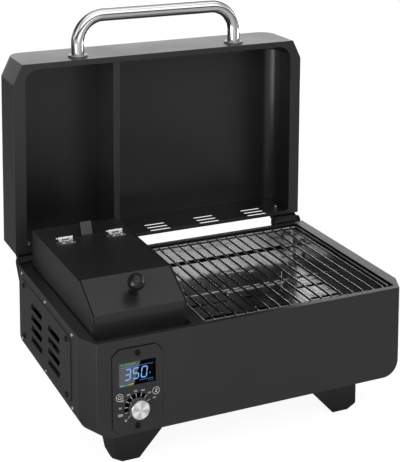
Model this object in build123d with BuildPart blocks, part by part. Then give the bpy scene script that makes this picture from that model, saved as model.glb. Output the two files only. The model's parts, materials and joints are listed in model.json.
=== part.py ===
from build123d import *
import os

# A tabletop pellet smoker grill, standing open. Millimetres: X to the right, Y to the back, Z up.
# The origin is the centre of the tub's flat underside, so the feet reach down to "ground_z". "rim_z" is
# the top of the tub, and most heights are counted down from it. Lid pieces are drawn closed and then
# swung open about the main hinge.

os.makedirs("parts", exist_ok=True)

# ---------------------------------------------------------------- driving dimensions
body_width = 525.0
body_depth = 314.0
body_height = 141.0
foot_height = 70.0
lid_height = 93.0
lid_rim_gap = 1.0
lid_open_angle = 89.4
corner_radius = 26.0
corner_cut_x = 15.3
corner_cut_y = 31.75
sheet = 1.5
thin_sheet = 1.0
running_gap = 0.05
fit_gap = 0.2

side_x = body_width / 2
front_y = -body_depth / 2
back_y = body_depth / 2
ground_z = -foot_height
rim_z = body_height
floor_z = sheet

# openings in the rims of tub and lid
tub_rim_side = 18.25
tub_rim_front = 8.5
tub_rim_back = 8.0
lid_rim_side = 19.5
lid_rim_front = 9.5
lid_rim_back = 5.6

# main hinge line, just behind the tub
hinge_y = back_y + 12.5
hinge_z = rim_z - 2.1
hinge_pin_radius = 3.0

# hopper bay at the left, cooking chamber at the right
hopper_left = -242.5
hopper_right = -97.5
hopper_back = 145.0
hopper_top = rim_z + 59.0
hopper_ridge_y = -74.0
hopper_nose_y = -128.5
hopper_nose_z = rim_z + 28.0
hopper_lip_z = rim_z + 15.0
hopper_hinge_y = 86.3
hopper_hinge_z = hopper_top + 2.8
hopper_mid_x = (hopper_left + hopper_right) / 2
partition_x = -96.0
chamber_left = -72.0
chamber_right = 236.0
chamber_front = -141.0
chamber_back = 143.0
chamber_mid_x = (chamber_left + chamber_right) / 2
liner_flange_z = rim_z - 8.0
liner_floor_z = floor_z + 8.0
tray_z = rim_z - 37.0

# auger line, running right into the fire pot
auger_y = 20.0
auger_z = rim_z - 92.0
auger_radius = 14.8
auger_tube_radius = 17.0
auger_tube_left = -205.0
auger_inlet_x = -170.0
pot_radius = 32.0
fan_y = 95.0
fan_z = 45.0

# control panel on the front
panel_x = -187.25
panel_z = rim_z - 74.75
panel_width = 74.5
panel_height = 122.5
panel_thickness = 2.0
panel_front_y = front_y - panel_thickness
display_z = rim_z - 50.75
display_width = 55.7
display_height = 34.3
button_spread = 55.0
button_z = rim_z - 81.7
button_radius = 5.8
knob_z = rim_z - 100.5
knob_radius = 14.0
knob_height = 12.0
knob_shaft_radius = 3.0
board_y = -142.0

pan_head_radius = 4.4
pan_head_height = 2.2
small_head_radius = 2.8
screw_radius = 1.9

left_face = Plane(origin=(-side_x, 0, 0), x_dir=(0, -1, 0), z_dir=(-1, 0, 0))
front_face = Plane.XZ.offset(-front_y)
main_hinge_axis = Axis((0, hinge_y, hinge_z), (1, 0, 0))


# ---------------------------------------------------------------- shared shapes
def end_outline(plane, half_width, low, high, radius, rounded_row):
    """Upright rectangle with two rounded corners: row 0 is the low pair, row -1 the high pair."""
    with BuildSketch(plane) as outline:
        with Locations((0, (low + high) / 2)):
            Rectangle(2 * half_width, high - low)
        fillet(outline.vertices().group_by(Axis.Y)[rounded_row], radius)
    return outline.sketch


def hull(half_width, front, back, low, high, radius, rounded_row):
    """Solid box with slanted front corners and two rounded long edges."""
    shape = (low, high, radius, rounded_row)
    rear = end_outline(Plane.XZ.offset(-back), half_width, *shape)
    shoulder = end_outline(Plane.XZ.offset(-front - corner_cut_y), half_width, *shape)
    nose = end_outline(Plane.XZ.offset(-front), half_width - corner_cut_x, *shape)
    with BuildPart() as solid:
        extrude(rear, amount=back - front - corner_cut_y)
        loft([shoulder, nose], ruled=True)
    return solid.part


def pan_screws(plane, spots, head_radius, head_height, length):
    """Pan-head screws at spots on a plane: heads stand out of it and shanks go in."""
    places = [plane.location * Location((u, v, 0)) for u, v in spots]
    with BuildPart() as screws:
        with Locations(*places):
            Cylinder(head_radius, head_height, align=(Align.CENTER, Align.CENTER, Align.MIN))
            Cylinder(screw_radius, length, align=(Align.CENTER, Align.CENTER, Align.MAX))
        tops = [edge for edge in screws.edges().filter_by(GeomType.CIRCLE)
                if plane.to_local_coords(edge.center()).Z > head_height - 0.01]
        fillet(tops, head_height * 0.6)
    return screws.part


def drill(plane, spots, radius, depth):
    """Round cutters at spots on a plane, running equally in front of it and behind it."""
    with BuildPart() as cutters:
        with BuildSketch(plane):
            with Locations(*spots):
                Circle(radius)
        extrude(amount=depth, both=True)
    return cutters.part


def grid(centre, spacing, counts):
    """Spots of a regular grid, as pairs on a plane."""
    first = (centre[0] - spacing[0] * (counts[0] - 1) / 2, centre[1] - spacing[1] * (counts[1] - 1) / 2)
    return [(first[0] + spacing[0] * i, first[1] + spacing[1] * j)
            for i in range(counts[0]) for j in range(counts[1])]


def box(low, high):
    """Plain block between two corners."""
    size = [b - a for a, b in zip(low, high)]
    middle = tuple((a + b) / 2 for a, b in zip(low, high))
    with BuildPart() as block:
        with Locations(middle):
            Box(*size)
    return block.part


def rounded_block(low, high, radius):
    """Block between two corners with rounded upright edges."""
    with BuildPart() as block:
        with BuildSketch(Plane.XY.offset(low[2])):
            with Locations(((low[0] + high[0]) / 2, (low[1] + high[1]) / 2)):
                RectangleRounded(high[0] - low[0], high[1] - low[1], radius)
        extrude(amount=high[2] - low[2])
    return block.part


def prism(plane, points, amount):
    """Straight extrusion of a polygon drawn on a plane."""
    with BuildPart() as solid:
        with BuildSketch(plane):
            with BuildLine():
                Polyline(*points, close=True)
            make_face()
        extrude(amount=amount)
    return solid.part


def rim_opening(side, front, back, low, high, front_radius, back_radius):
    """Cutter for the opening in a rim, with its own radius at the front and back corners."""
    with BuildPart() as cutter:
        with BuildSketch(Plane.XY.offset(low)) as plan:
            with Locations((0, (front_y + front + back_y - back) / 2)):
                Rectangle(body_width - 2 * side, body_depth - front - back)
            fillet(plan.vertices().group_by(Axis.Y)[0], front_radius)
            fillet(plan.vertices().group_by(Axis.Y)[-1], back_radius)
        extrude(amount=high - low)
    return cutter.part


def tube(points, bend_radius, radius, wall):
    """Round tube swept along a path with rounded bends."""
    with BuildPart() as pipe:
        with BuildLine() as path:
            FilletPolyline(*points, radius=bend_radius)
        with BuildSketch(Plane(path.line @ 0, z_dir=path.line % 0)):
            Circle(radius)
            if wall:
                Circle(radius - wall, mode=Mode.SUBTRACT)
        sweep(path=path.line)
    return pipe.part


def opened(closed_part):
    """A lid piece swung from its closed place to the open rest place."""
    return closed_part.rotate(main_hinge_axis, -lid_open_angle)


# ---------------------------------------------------------------- tub
frame_screw_spots = grid((-21.4, rim_z - 62.6), (120.0, 108.8), (3, 2))
cover_mid_y = 24.2
cover_mid_z = rim_z - 63.75
cover_length = 238.5
cover_height = 98.5
cover_screw_spots = grid((-cover_mid_y, cover_mid_z), (205.5, 83.5), (2, 2))
bay_window_length = 186.0
bay_window_height = 70.0
panel_window = (70.0, 88.0)
panel_screw_spots = [(panel_x, rim_z - 21.3), (panel_x, rim_z - 128.2)]
inlet_x = -200.0
inlet_z = 35.0
bracket_screw_spots = [(side * x, rim_z - 22.0) for side in (-1, 1) for x in (226.0, 248.0)]
foot_screw_spots = [(side * x, end * 92.0) for side in (-1, 1) for end in (-1, 1) for x in (125.0, 185.0)]

tub_outside = hull(side_x, front_y, back_y, 0, rim_z, corner_radius, 0)
tub_inside = hull(side_x - sheet, front_y + sheet, back_y - sheet, floor_z, rim_z - sheet,
                  corner_radius - sheet, 0)
bay_window = box((-side_x - 5, cover_mid_y - bay_window_length / 2, cover_mid_z - bay_window_height / 2),
                 (-side_x + 10, cover_mid_y + bay_window_length / 2, cover_mid_z + bay_window_height / 2))
back_face = Plane.XZ.offset(-back_y)

with BuildPart() as body_shell:
    add(tub_outside)
    long_edges = body_shell.edges().filter_by(Axis.X).group_by(Axis.Z)[0]
    fillet(long_edges, 1.2)
    add(tub_inside, mode=Mode.SUBTRACT)
    add(rim_opening(tub_rim_side, tub_rim_front, tub_rim_back, rim_z - 2 * sheet, rim_z + 1, 4, 4),
        mode=Mode.SUBTRACT)
    add(bay_window, mode=Mode.SUBTRACT)
    add(drill(left_face, frame_screw_spots + cover_screw_spots, screw_radius + fit_gap, 5),
        mode=Mode.SUBTRACT)
    with BuildSketch(front_face):
        with Locations((panel_x, panel_z)):
            Rectangle(*panel_window)
    extrude(amount=5, both=True, mode=Mode.SUBTRACT)
    add(drill(front_face, panel_screw_spots, screw_radius + fit_gap, 5), mode=Mode.SUBTRACT)
    add(drill(back_face, [(inlet_x, inlet_z)], 6 + fit_gap, 5), mode=Mode.SUBTRACT)
    add(drill(back_face, bracket_screw_spots, screw_radius + fit_gap, 5), mode=Mode.SUBTRACT)
    add(drill(Plane.XY, foot_screw_spots, screw_radius + fit_gap, 5), mode=Mode.SUBTRACT)
body_shell.part.label = "body_shell"
export_step(body_shell.part, "parts/body_shell.step")

# stiffening frame behind the louvred cover, a millimetre clear of the wall
frame_plane = Plane(origin=(-side_x + sheet + 1.0, 0, 0), x_dir=(0, -1, 0), z_dir=(-1, 0, 0))
with BuildPart() as side_frame:
    with BuildSketch(frame_plane):
        with Locations((-cover_mid_y, rim_z - 62.0)):
            RectangleRounded(252, 118, 4)
        with Locations((-cover_mid_y, cover_mid_z)):
            Rectangle(bay_window_length, bay_window_height, mode=Mode.SUBTRACT)
        with Locations(*(frame_screw_spots + cover_screw_spots)):
            Circle(screw_radius + fit_gap, mode=Mode.SUBTRACT)
    extrude(amount=-sheet)
side_frame.part.label = "side_frame"
export_step(side_frame.part, "parts/side_frame.step")

with BuildPart() as side_frame_screws:
    add(pan_screws(left_face, frame_screw_spots, small_head_radius, 1.5, 6))
side_frame_screws.part.label = "side_frame_screws"
export_step(side_frame_screws.part, "parts/side_frame_screws.step")

louvre_spots = grid((-19.75, rim_z - 66.2), (83.5, 17.8), (2, 4))
louvre_half_length = 25.5
louvre_half_height = 5.3
louvre_slant = 2.75
with BuildPart() as vent_cover:
    with BuildSketch(left_face) as cover_outline:
        with Locations((-cover_mid_y, cover_mid_z)):
            Rectangle(cover_length, cover_height)
        chamfer(cover_outline.vertices(), 7)
        with Locations(*cover_screw_spots):
            Circle(screw_radius + fit_gap, mode=Mode.SUBTRACT)
        with Locations(*louvre_spots):
            Polygon((-louvre_half_length - louvre_slant, -louvre_half_height),
                    (louvre_half_length - louvre_slant, -louvre_half_height),
                    (louvre_half_length + louvre_slant, louvre_half_height),
                    (-louvre_half_length + louvre_slant, louvre_half_height),
                    align=None, mode=Mode.SUBTRACT)
    extrude(amount=sheet)
vent_cover.part.label = "vent_cover"
export_step(vent_cover.part, "parts/vent_cover.step")

with BuildPart() as vent_cover_screws:
    add(pan_screws(left_face.offset(sheet), cover_screw_spots, pan_head_radius, pan_head_height, 7))
vent_cover_screws.part.label = "vent_cover_screws"
export_step(vent_cover_screws.part, "parts/vent_cover_screws.step")


# ---------------------------------------------------------------- feet
foot_outer_x = 207.0
foot_front_y = -107.0
foot_sheet = 2.0
pad_thickness = 1.5
foot_low_z = ground_z + pad_thickness
foot_flange_back = -77.0
pad_spot = (177.0, -95.0)
pad_radius = 8.0
pad_stem_radius = 2.9

with BuildPart() as front_right_foot:
    add(prism(Plane.XZ.offset(-foot_front_y),
              [(163.5, foot_low_z), (190, foot_low_z), (foot_outer_x, foot_low_z + 9),
               (foot_outer_x, 0), (98.8, 0)], -foot_sheet))
    add(prism(Plane.YZ.offset(foot_outer_x),
              [(foot_front_y, foot_low_z + 9), (-80, foot_low_z + 11.5), (-31, 0), (foot_front_y, 0)],
              -foot_sheet))
    add(box((104, foot_front_y, -foot_sheet), (foot_outer_x, foot_flange_back, 0)))
    add(box((164.5, foot_front_y, foot_low_z), (188, -84, foot_low_z + foot_sheet)))
    corner = front_right_foot.edges().filter_by(Axis.Z).sort_by_distance((foot_outer_x, foot_front_y, -30))[0]
    fillet(corner, 4.5)
    add(drill(Plane.XY, foot_screw_spots, screw_radius + fit_gap, 5), mode=Mode.SUBTRACT)
    add(drill(Plane.XY.offset(foot_low_z), [pad_spot], pad_stem_radius + 0.1, 5), mode=Mode.SUBTRACT)
front_right_foot.part.label = "front_right_foot"
export_step(front_right_foot.part, "parts/front_right_foot.step")

with BuildPart() as front_left_foot:
    add(front_right_foot.part.mirror(Plane.YZ))
front_left_foot.part.label = "front_left_foot"
export_step(front_left_foot.part, "parts/front_left_foot.step")

with BuildPart() as rear_right_foot:
    add(front_right_foot.part.mirror(Plane.XZ))
rear_right_foot.part.label = "rear_right_foot"
export_step(rear_right_foot.part, "parts/rear_right_foot.step")

with BuildPart() as rear_left_foot:
    add(front_left_foot.part.mirror(Plane.XZ))
rear_left_foot.part.label = "rear_left_foot"
export_step(rear_left_foot.part, "parts/rear_left_foot.step")

pad_spots = [(side * pad_spot[0], end * pad_spot[1]) for side in (-1, 1) for end in (-1, 1)]
with BuildPart() as foot_pads:
    with BuildSketch(Plane.XY.offset(ground_z)):
        with Locations(*pad_spots):
            Circle(pad_radius)
    extrude(amount=pad_thickness)
    with BuildSketch(Plane.XY.offset(foot_low_z)):
        with Locations(*pad_spots):
            Circle(pad_stem_radius)
    extrude(amount=foot_sheet + 2)
foot_pads.part.label = "foot_pads"
export_step(foot_pads.part, "parts/foot_pads.step")

with BuildPart() as foot_screws:
    add(pan_screws(Plane.XY.offset(floor_z), foot_screw_spots, pan_head_radius, pan_head_height, 7))
foot_screws.part.label = "foot_screws"
export_step(foot_screws.part, "parts/foot_screws.step")


# ---------------------------------------------------------------- cooking chamber
partition_depth = body_depth - 2 * sheet - 1.0
partition_low = floor_z + 0.2
partition_high = rim_z - 2.0
fan_window_radius = 27.0
auger_hole_radius = auger_tube_radius + fit_gap
across = Plane.YZ.offset(partition_x)

with BuildPart() as partition:
    add(box((partition_x, -partition_depth / 2, partition_low),
            (partition_x + sheet, partition_depth / 2, partition_high)))
    add(box((partition_x, -partition_depth / 2, partition_high - sheet),
            (chamber_left - 7.5, partition_depth / 2, partition_high)))
    add(drill(across, [(auger_y, auger_z)], auger_hole_radius, 5), mode=Mode.SUBTRACT)
    add(drill(across, [(fan_y, fan_z)], fan_window_radius, 5), mode=Mode.SUBTRACT)
    add(drill(across, [(auger_y, auger_z - 23)], 4.2, 5), mode=Mode.SUBTRACT)
partition.part.label = "partition"
export_step(partition.part, "parts/partition.step")

liner_wall = thin_sheet
ledge_width = 5.0
liner_out_low = (chamber_left - liner_wall, chamber_front - liner_wall, liner_floor_z)
liner_out_high = (chamber_right + liner_wall, chamber_back + liner_wall, liner_flange_z)
liner_flange_low = (chamber_left - 6.5, chamber_front - 6.5, liner_flange_z - liner_wall)
liner_flange_high = (chamber_right + 5.8, chamber_back + 5.0, liner_flange_z)
liner_dimples = grid((chamber_mid_x, 0), (240, 220), (2, 2))
with BuildPart() as firebox_liner:
    add(rounded_block(liner_out_low, liner_out_high, 7))
    add(rounded_block(liner_flange_low, liner_flange_high, 8))
    add(rounded_block((chamber_left, chamber_front, liner_floor_z + liner_wall),
                      (chamber_right, chamber_back, rim_z), 6), mode=Mode.SUBTRACT)
    for low_x in (chamber_left, chamber_right - ledge_width):
        add(box((low_x, -120, tray_z - 2 * thin_sheet), (low_x + ledge_width, 120, tray_z - thin_sheet)))
    with BuildSketch(Plane.XY.offset(liner_floor_z)):
        with Locations(*liner_dimples):
            Circle(9)
    extrude(amount=-(liner_floor_z - floor_z), taper=20)
    add(drill(Plane.YZ.offset(chamber_left), [(auger_y, auger_z)], auger_hole_radius, 5),
        mode=Mode.SUBTRACT)
    add(drill(Plane.YZ.offset(chamber_left), [(auger_y, auger_z - 23)], 4.2, 5), mode=Mode.SUBTRACT)
    add(drill(Plane.YZ.offset(chamber_left), [(fan_y, fan_z)], fan_window_radius, 5), mode=Mode.SUBTRACT)
firebox_liner.part.label = "firebox_liner"
export_step(firebox_liner.part, "parts/firebox_liner.step")

# tray over the fire pot: six draught slots at the front and a flame window under the slide
tray_margin = 2.0
slot_pitch_x = 92.0
slot_pitch_y = 45.0
slot_mid_y = -44.5
flame_window_low = (45.0, 16.0)
flame_window_high = (92.0, 56.0)
slide_slot_x = 88.0
slide_slot_y = 72.0
slide_slot_length = 62.0
slide_slot_width = 9.0
stud_radius = 4.2
stud_x = slide_slot_x + (slide_slot_length - slide_slot_width) / 2 - 1.0
lip_depth = 9.0
with BuildPart() as drip_tray:
    add(box((chamber_left + tray_margin, chamber_front + tray_margin, tray_z - thin_sheet),
            (chamber_right - tray_margin, chamber_back - 8, tray_z)))
    add(box((chamber_left + tray_margin, chamber_front + tray_margin, tray_z - lip_depth),
            (chamber_right - tray_margin, chamber_front + tray_margin + thin_sheet, tray_z)))
    add(box((chamber_left + tray_margin, chamber_back - 8 - thin_sheet, tray_z - lip_depth),
            (chamber_right - tray_margin, chamber_back - 8, tray_z)))
    with BuildSketch(Plane.XY.offset(tray_z - thin_sheet - 1)):
        with Locations(*grid((chamber_mid_x, slot_mid_y), (slot_pitch_x, slot_pitch_y), (3, 2))):
            SlotOverall(60, 7)
    extrude(amount=3, mode=Mode.SUBTRACT)
    add(box((*flame_window_low, tray_z - 2), (*flame_window_high, tray_z + 1)), mode=Mode.SUBTRACT)
    with Locations((stud_x, slide_slot_y, tray_z)):
        Cylinder(stud_radius - 0.6, 2, align=(Align.CENTER, Align.CENTER, Align.MIN))
    with Locations((stud_x, slide_slot_y, tray_z + 1.6)):
        Cylinder(stud_radius + 3, 1.2, align=(Align.CENTER, Align.CENTER, Align.MIN))
drip_tray.part.label = "drip_tray"
export_step(drip_tray.part, "parts/drip_tray.step")

slide_low = (36.0, 6.0)
slide_high = (140.0, 92.0)
slide_z = tray_z + 0.3
with BuildPart() as flame_slide:
    add(box((*slide_low, slide_z), (*slide_high, slide_z + thin_sheet)))
    add(box((slide_high[0] - thin_sheet, slide_low[1] + 8, slide_z),
            (slide_high[0], slide_low[1] + 30, slide_z + 17)))
    with BuildSketch(Plane.XY.offset(slide_z - 1)):
        with Locations((slide_slot_x, slide_slot_y)):
            SlotOverall(slide_slot_length, slide_slot_width)
        with Locations((slide_low[0] + 10, slide_low[1] + 22)):
            SlotOverall(11, 5)
    extrude(amount=4, mode=Mode.SUBTRACT)
flame_slide.part.label = "flame_slide"
export_step(flame_slide.part, "parts/flame_slide.step")

# welded grate: long bars over two cross rods, framed at the back and sides by one bent wire at bar
# level. The bars' ends turn down and stand on the liner flange.
bar_radius = 1.75
bar_pitch = 18.0
bar_count = 17
bar_first_x = -60.0
bar_front_y = chamber_front - 2.5
bar_back_y = chamber_back + 5.0
rod_z = liner_flange_z + bar_radius
bar_z = rod_z + 2 * bar_radius - 0.3
rod_places = (-137.5, -50.0)
frame_wire_front = -139.0
frame_wire_back = 140.0
frame_wire_left = chamber_left - 2.0
frame_wire_right = chamber_right + 2.0
frame_wire_bend = 7.0
frame_wire_points = [(frame_wire_left, frame_wire_front, bar_z), (frame_wire_left, frame_wire_back, bar_z),
                     (frame_wire_right, frame_wire_back, bar_z), (frame_wire_right, frame_wire_front, bar_z)]
with BuildPart() as cooking_grate:
    for index in range(bar_count):
        bar_x = bar_first_x + index * bar_pitch
        with BuildSketch(Plane.XZ.offset(-bar_back_y)):
            with Locations((bar_x, bar_z)):
                Circle(bar_radius)
        extrude(amount=bar_back_y - bar_front_y)
        with Locations((bar_x, bar_front_y + bar_radius, liner_flange_z),
                       (bar_x, bar_back_y - bar_radius, liner_flange_z)):
            Cylinder(bar_radius - 0.1, bar_z - liner_flange_z,
                     align=(Align.CENTER, Align.CENTER, Align.MIN))
    for rod_y in rod_places:
        with BuildSketch(Plane.YZ.offset(chamber_left - 5)):
            with Locations((rod_y, rod_z)):
                Circle(bar_radius)
        extrude(amount=chamber_right - chamber_left + 9.5)
    add(tube(frame_wire_points, frame_wire_bend, bar_radius, 0))
cooking_grate.part.label = "cooking_grate"
export_step(cooking_grate.part, "parts/cooking_grate.step")

# probe clip on the right wall, and the probe with its thin lead
probe_y = 122.0
probe_z = rim_z - 27.0
clip_x = chamber_right - 11.0
with BuildPart() as sensor_bracket:
    add(box((clip_x, probe_y - 3, probe_z - 6), (clip_x + 2, probe_y + 3, probe_z + 7)))
    add(box((clip_x, probe_y - 3, probe_z + 5), (chamber_right, probe_y + 3, probe_z + 7)))
    add(box((chamber_right - 1.5, probe_y - 3, probe_z + 1), (chamber_right, probe_y + 3, probe_z + 7)))
    add(drill(Plane.YZ.offset(clip_x), [(probe_y, probe_z)], 2.1, 5), mode=Mode.SUBTRACT)
sensor_bracket.part.label = "sensor_bracket"
export_step(sensor_bracket.part, "parts/sensor_bracket.step")

lead_radius = 0.9
lead_points = [(clip_x + 2.5, probe_y, probe_z), (clip_x + 7, probe_y, probe_z),
               (chamber_right - 3, 95, probe_z - 2), (chamber_right - 3, 20, probe_z - 2)]
with BuildPart() as temperature_sensor:
    add(tube(lead_points, 3, lead_radius, 0))
    with BuildSketch(Plane.YZ.offset(clip_x - 24)):
        with Locations((probe_y, probe_z)):
            Circle(2.0)
    extrude(amount=27)
temperature_sensor.part.label = "temperature_sensor"
export_step(temperature_sensor.part, "parts/temperature_sensor.step")

# fire pot on the liner floor, open at the top, with draught holes round its foot
pot_wall = 2.0
pot_high = rim_z - 68.0
pot_low = liner_floor_z + liner_wall
with BuildPart() as fire_pot:
    with BuildSketch(Plane.XY.offset(pot_low)):
        with Locations((chamber_mid_x, auger_y)):
            Circle(pot_radius)
    extrude(amount=pot_high - pot_low)
    with BuildSketch(Plane.XY.offset(pot_low + pot_wall)):
        with Locations((chamber_mid_x, auger_y)):
            Circle(pot_radius - pot_wall)
    extrude(amount=pot_high, mode=Mode.SUBTRACT)
    with Locations(Location((chamber_mid_x, auger_y, pot_low + 8))):
        with PolarLocations(pot_radius, 12, start_angle=15):
            Cylinder(3, 12, rotation=(0, 90, 0), mode=Mode.SUBTRACT)
    with BuildSketch(Plane.YZ.offset(chamber_mid_x - pot_radius - 5)):
        with Locations((auger_y, auger_z)):
            Circle(auger_hole_radius)
        with Locations((auger_y, auger_z - 23)):
            Circle(4.2)
    extrude(amount=30, mode=Mode.SUBTRACT)
fire_pot.part.label = "fire_pot"
export_step(fire_pot.part, "parts/fire_pot.step")


# ---------------------------------------------------------------- pellet feed
auger_tube_right = chamber_mid_x - pot_radius + 5
auger_wall = 1.4
motor_front_x = auger_tube_left - 2.0
shaft_radius = 4.0
with BuildPart() as auger_tube:
    with BuildSketch(Plane.YZ.offset(auger_tube_left)):
        with Locations((auger_y, auger_z)):
            Circle(auger_tube_radius)
            Circle(auger_tube_radius - auger_wall, mode=Mode.SUBTRACT)
    extrude(amount=auger_tube_right - auger_tube_left)
    with BuildSketch(Plane.YZ.offset(motor_front_x)):
        with Locations((auger_y, auger_z)):
            Rectangle(44, 44)
            Circle(shaft_radius + 1, mode=Mode.SUBTRACT)
    extrude(amount=auger_tube_left - motor_front_x)
    add(box((auger_inlet_x - 19, auger_y - 11, auger_z), (auger_inlet_x + 19, auger_y + 11, auger_z + 30)),
        mode=Mode.SUBTRACT)
auger_tube.part.label = "auger_tube"
export_step(auger_tube.part, "parts/auger_tube.step")

flight_pitch = 24.0
flight_left = auger_tube_left + 6
flight_right = auger_tube_right - 4
blade_lean = 0.45
blade_half_thickness = 0.8
blade_spacing = flight_pitch / 2
blade_total = int((flight_right - flight_left) / blade_spacing)
with BuildPart() as auger_screw:
    with BuildSketch(Plane.YZ.offset(motor_front_x - 12)):
        with Locations((auger_y, auger_z)):
            Circle(shaft_radius)
    extrude(amount=flight_right - motor_front_x + 12)
    for turn in range(blade_total):
        lean = blade_lean if turn % 2 == 0 else -blade_lean
        blade_plane = Plane(origin=(flight_left + (turn + 0.5) * blade_spacing, auger_y, auger_z),
                            x_dir=(0, 1, 0), z_dir=(1, 0, lean))
        with BuildSketch(blade_plane):
            Circle(auger_radius - 1.6)
        extrude(amount=blade_half_thickness, both=True)
auger_screw.part.label = "auger_screw"
export_step(auger_screw.part, "parts/auger_screw.step")

with BuildPart() as auger_motor:
    add(box((motor_front_x - 24, auger_y - 22, auger_z - 22), (motor_front_x, auger_y + 22, auger_z + 22)))
    with BuildSketch(Plane.YZ.offset(motor_front_x - 24)):
        with Locations((auger_y, auger_z)):
            Circle(17)
    extrude(amount=-22)
    with BuildSketch(Plane.YZ.offset(motor_front_x)):
        with Locations((auger_y, auger_z)):
            Circle(shaft_radius + running_gap)
    extrude(amount=-14, mode=Mode.SUBTRACT)
auger_motor.part.label = "auger_motor"
export_step(auger_motor.part, "parts/auger_motor.step")

with BuildPart() as igniter:
    with BuildSketch(Plane.YZ.offset(partition_x - 20)):
        with Locations((auger_y, auger_z - 23)):
            Circle(4)
    extrude(amount=auger_tube_right - partition_x + 20)
    with BuildSketch(Plane.YZ.offset(partition_x - 0.2)):
        with Locations((auger_y, auger_z - 23)):
            Circle(5.5)
    extrude(amount=-4)
igniter.part.label = "igniter"
export_step(igniter.part, "parts/igniter.step")

# square fan against the bay side of the partition, blowing into the chamber shell
fan_size = 60.0
fan_depth = 20.0
fan_right_x = partition_x - 0.2
hub_radius = 12.0
fan_shaft_radius = 2.0
fan_plane = Plane.YZ.offset(fan_right_x - fan_depth)
with BuildPart() as fan_housing:
    with BuildSketch(fan_plane):
        with Locations((fan_y, fan_z)):
            RectangleRounded(fan_size, fan_size, 5)
            Circle(fan_window_radius, mode=Mode.SUBTRACT)
    extrude(amount=fan_depth)
    with BuildSketch(fan_plane):
        with Locations((fan_y, fan_z)):
            Circle(hub_radius)
            Rectangle(fan_size - 2, 5)
            Rectangle(5, fan_size - 2)
            Circle(fan_shaft_radius + running_gap, mode=Mode.SUBTRACT)
    extrude(amount=4)
fan_housing.part.label = "fan_housing"
export_step(fan_housing.part, "parts/fan_housing.step")

blade_count = 7
with BuildPart() as fan_impeller:
    with BuildSketch(fan_plane.offset(4.5)):
        with Locations((fan_y, fan_z)):
            Circle(hub_radius)
    extrude(amount=13)
    with BuildSketch(fan_plane.offset(0.5)):
        with Locations((fan_y, fan_z)):
            Circle(fan_shaft_radius)
    extrude(amount=5)
    for index in range(blade_count):
        blade_turn = Location((fan_right_x - fan_depth / 2 + 1, fan_y, fan_z),
                              (index * 360 / blade_count, 0, 0))
        with Locations(blade_turn * Location((0, 0, 18), (0, 0, 35))):
            Box(1.2, 13, 15)
fan_impeller.part.label = "fan_impeller"
export_step(fan_impeller.part, "parts/fan_impeller.step")


# ---------------------------------------------------------------- hopper
deck_z = rim_z - 12.0
deck_left = -side_x + 4.5
deck_right = hopper_right + 1.2
deck_front = front_y + sheet + 0.3
deck_back = back_y - sheet - 0.3
with BuildPart() as compartment_deck:
    add(prism(Plane.XY.offset(deck_z - sheet),
              [(deck_left + 13.5, deck_front), (deck_right, deck_front), (deck_right, deck_back),
               (deck_left, deck_back), (deck_left, deck_front + 28.7)], sheet))
    add(box((hopper_left - fit_gap, hopper_nose_y + 0.8, deck_z - 5),
            (hopper_right + fit_gap, hopper_back + fit_gap, deck_z + 5)), mode=Mode.SUBTRACT)
compartment_deck.part.label = "compartment_deck"
export_step(compartment_deck.part, "parts/compartment_deck.step")

hopper_low = deck_z - 8.0
spout_half_x = 17.0
spout_half_y = 9.0
spout_z = auger_z + 18.0
lid_side_gap = 1.6
lid_left = hopper_left + sheet + lid_side_gap
lid_right = hopper_right - sheet - lid_side_gap
front_wall_y = hopper_nose_y + sheet + 0.6
side_profile = [(hopper_back, hopper_low), (hopper_back, hopper_top), (hopper_ridge_y, hopper_top),
                (hopper_nose_y, hopper_nose_z), (hopper_nose_y, hopper_lip_z), (front_wall_y, hopper_lip_z),
                (front_wall_y, hopper_low)]


def funnel(gap):
    """Tapered solid from the foot of the hopper walls down to the spout, shrunk by gap."""
    with BuildPart() as taper:
        with BuildSketch(Plane.XY.offset(hopper_low)):
            with Locations((hopper_mid_x, (front_wall_y + hopper_back) / 2)):
                Rectangle(hopper_right - hopper_left - 2 * gap, hopper_back - front_wall_y - 2 * gap)
        with BuildSketch(Plane.XY.offset(spout_z)):
            with Locations((auger_inlet_x, auger_y)):
                Rectangle(2 * (spout_half_x - gap), 2 * (spout_half_y - gap))
        loft(ruled=True)
    return taper.part


with BuildPart() as hopper_box:
    for wall_x in (hopper_left, hopper_right - sheet):
        add(prism(Plane.YZ.offset(wall_x), side_profile, sheet))
    add(box((hopper_left, hopper_back - sheet, hopper_low), (hopper_right, hopper_back, hopper_top)))
    add(box((hopper_left, hopper_hinge_y + 0.3, hopper_top - sheet), (hopper_right, hopper_back, hopper_top)))
    add(box((hopper_left, front_wall_y, hopper_low), (hopper_right, front_wall_y + sheet, hopper_nose_z - 4)))
    for ledge_x in (hopper_left, hopper_right - 8):
        add(box((ledge_x, hopper_ridge_y + 6, hopper_top - 2 * sheet - 0.2),
                (ledge_x + 8, hopper_back, hopper_top - sheet - 0.2)))
    add(funnel(0))
    add(funnel(sheet), mode=Mode.SUBTRACT)
    add(box((hopper_left + sheet, front_wall_y + sheet, hopper_low - 0.5),
            (hopper_right - sheet, hopper_back - sheet, hopper_low + 0.5)), mode=Mode.SUBTRACT)
    add(box((auger_inlet_x - spout_half_x + sheet, auger_y - spout_half_y + sheet, spout_z - 2),
            (auger_inlet_x + spout_half_x - sheet, auger_y + spout_half_y - sheet, spout_z + 2)),
        mode=Mode.SUBTRACT)
hopper_box.part.label = "hopper_box"
export_step(hopper_box.part, "parts/hopper_box.step")

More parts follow.
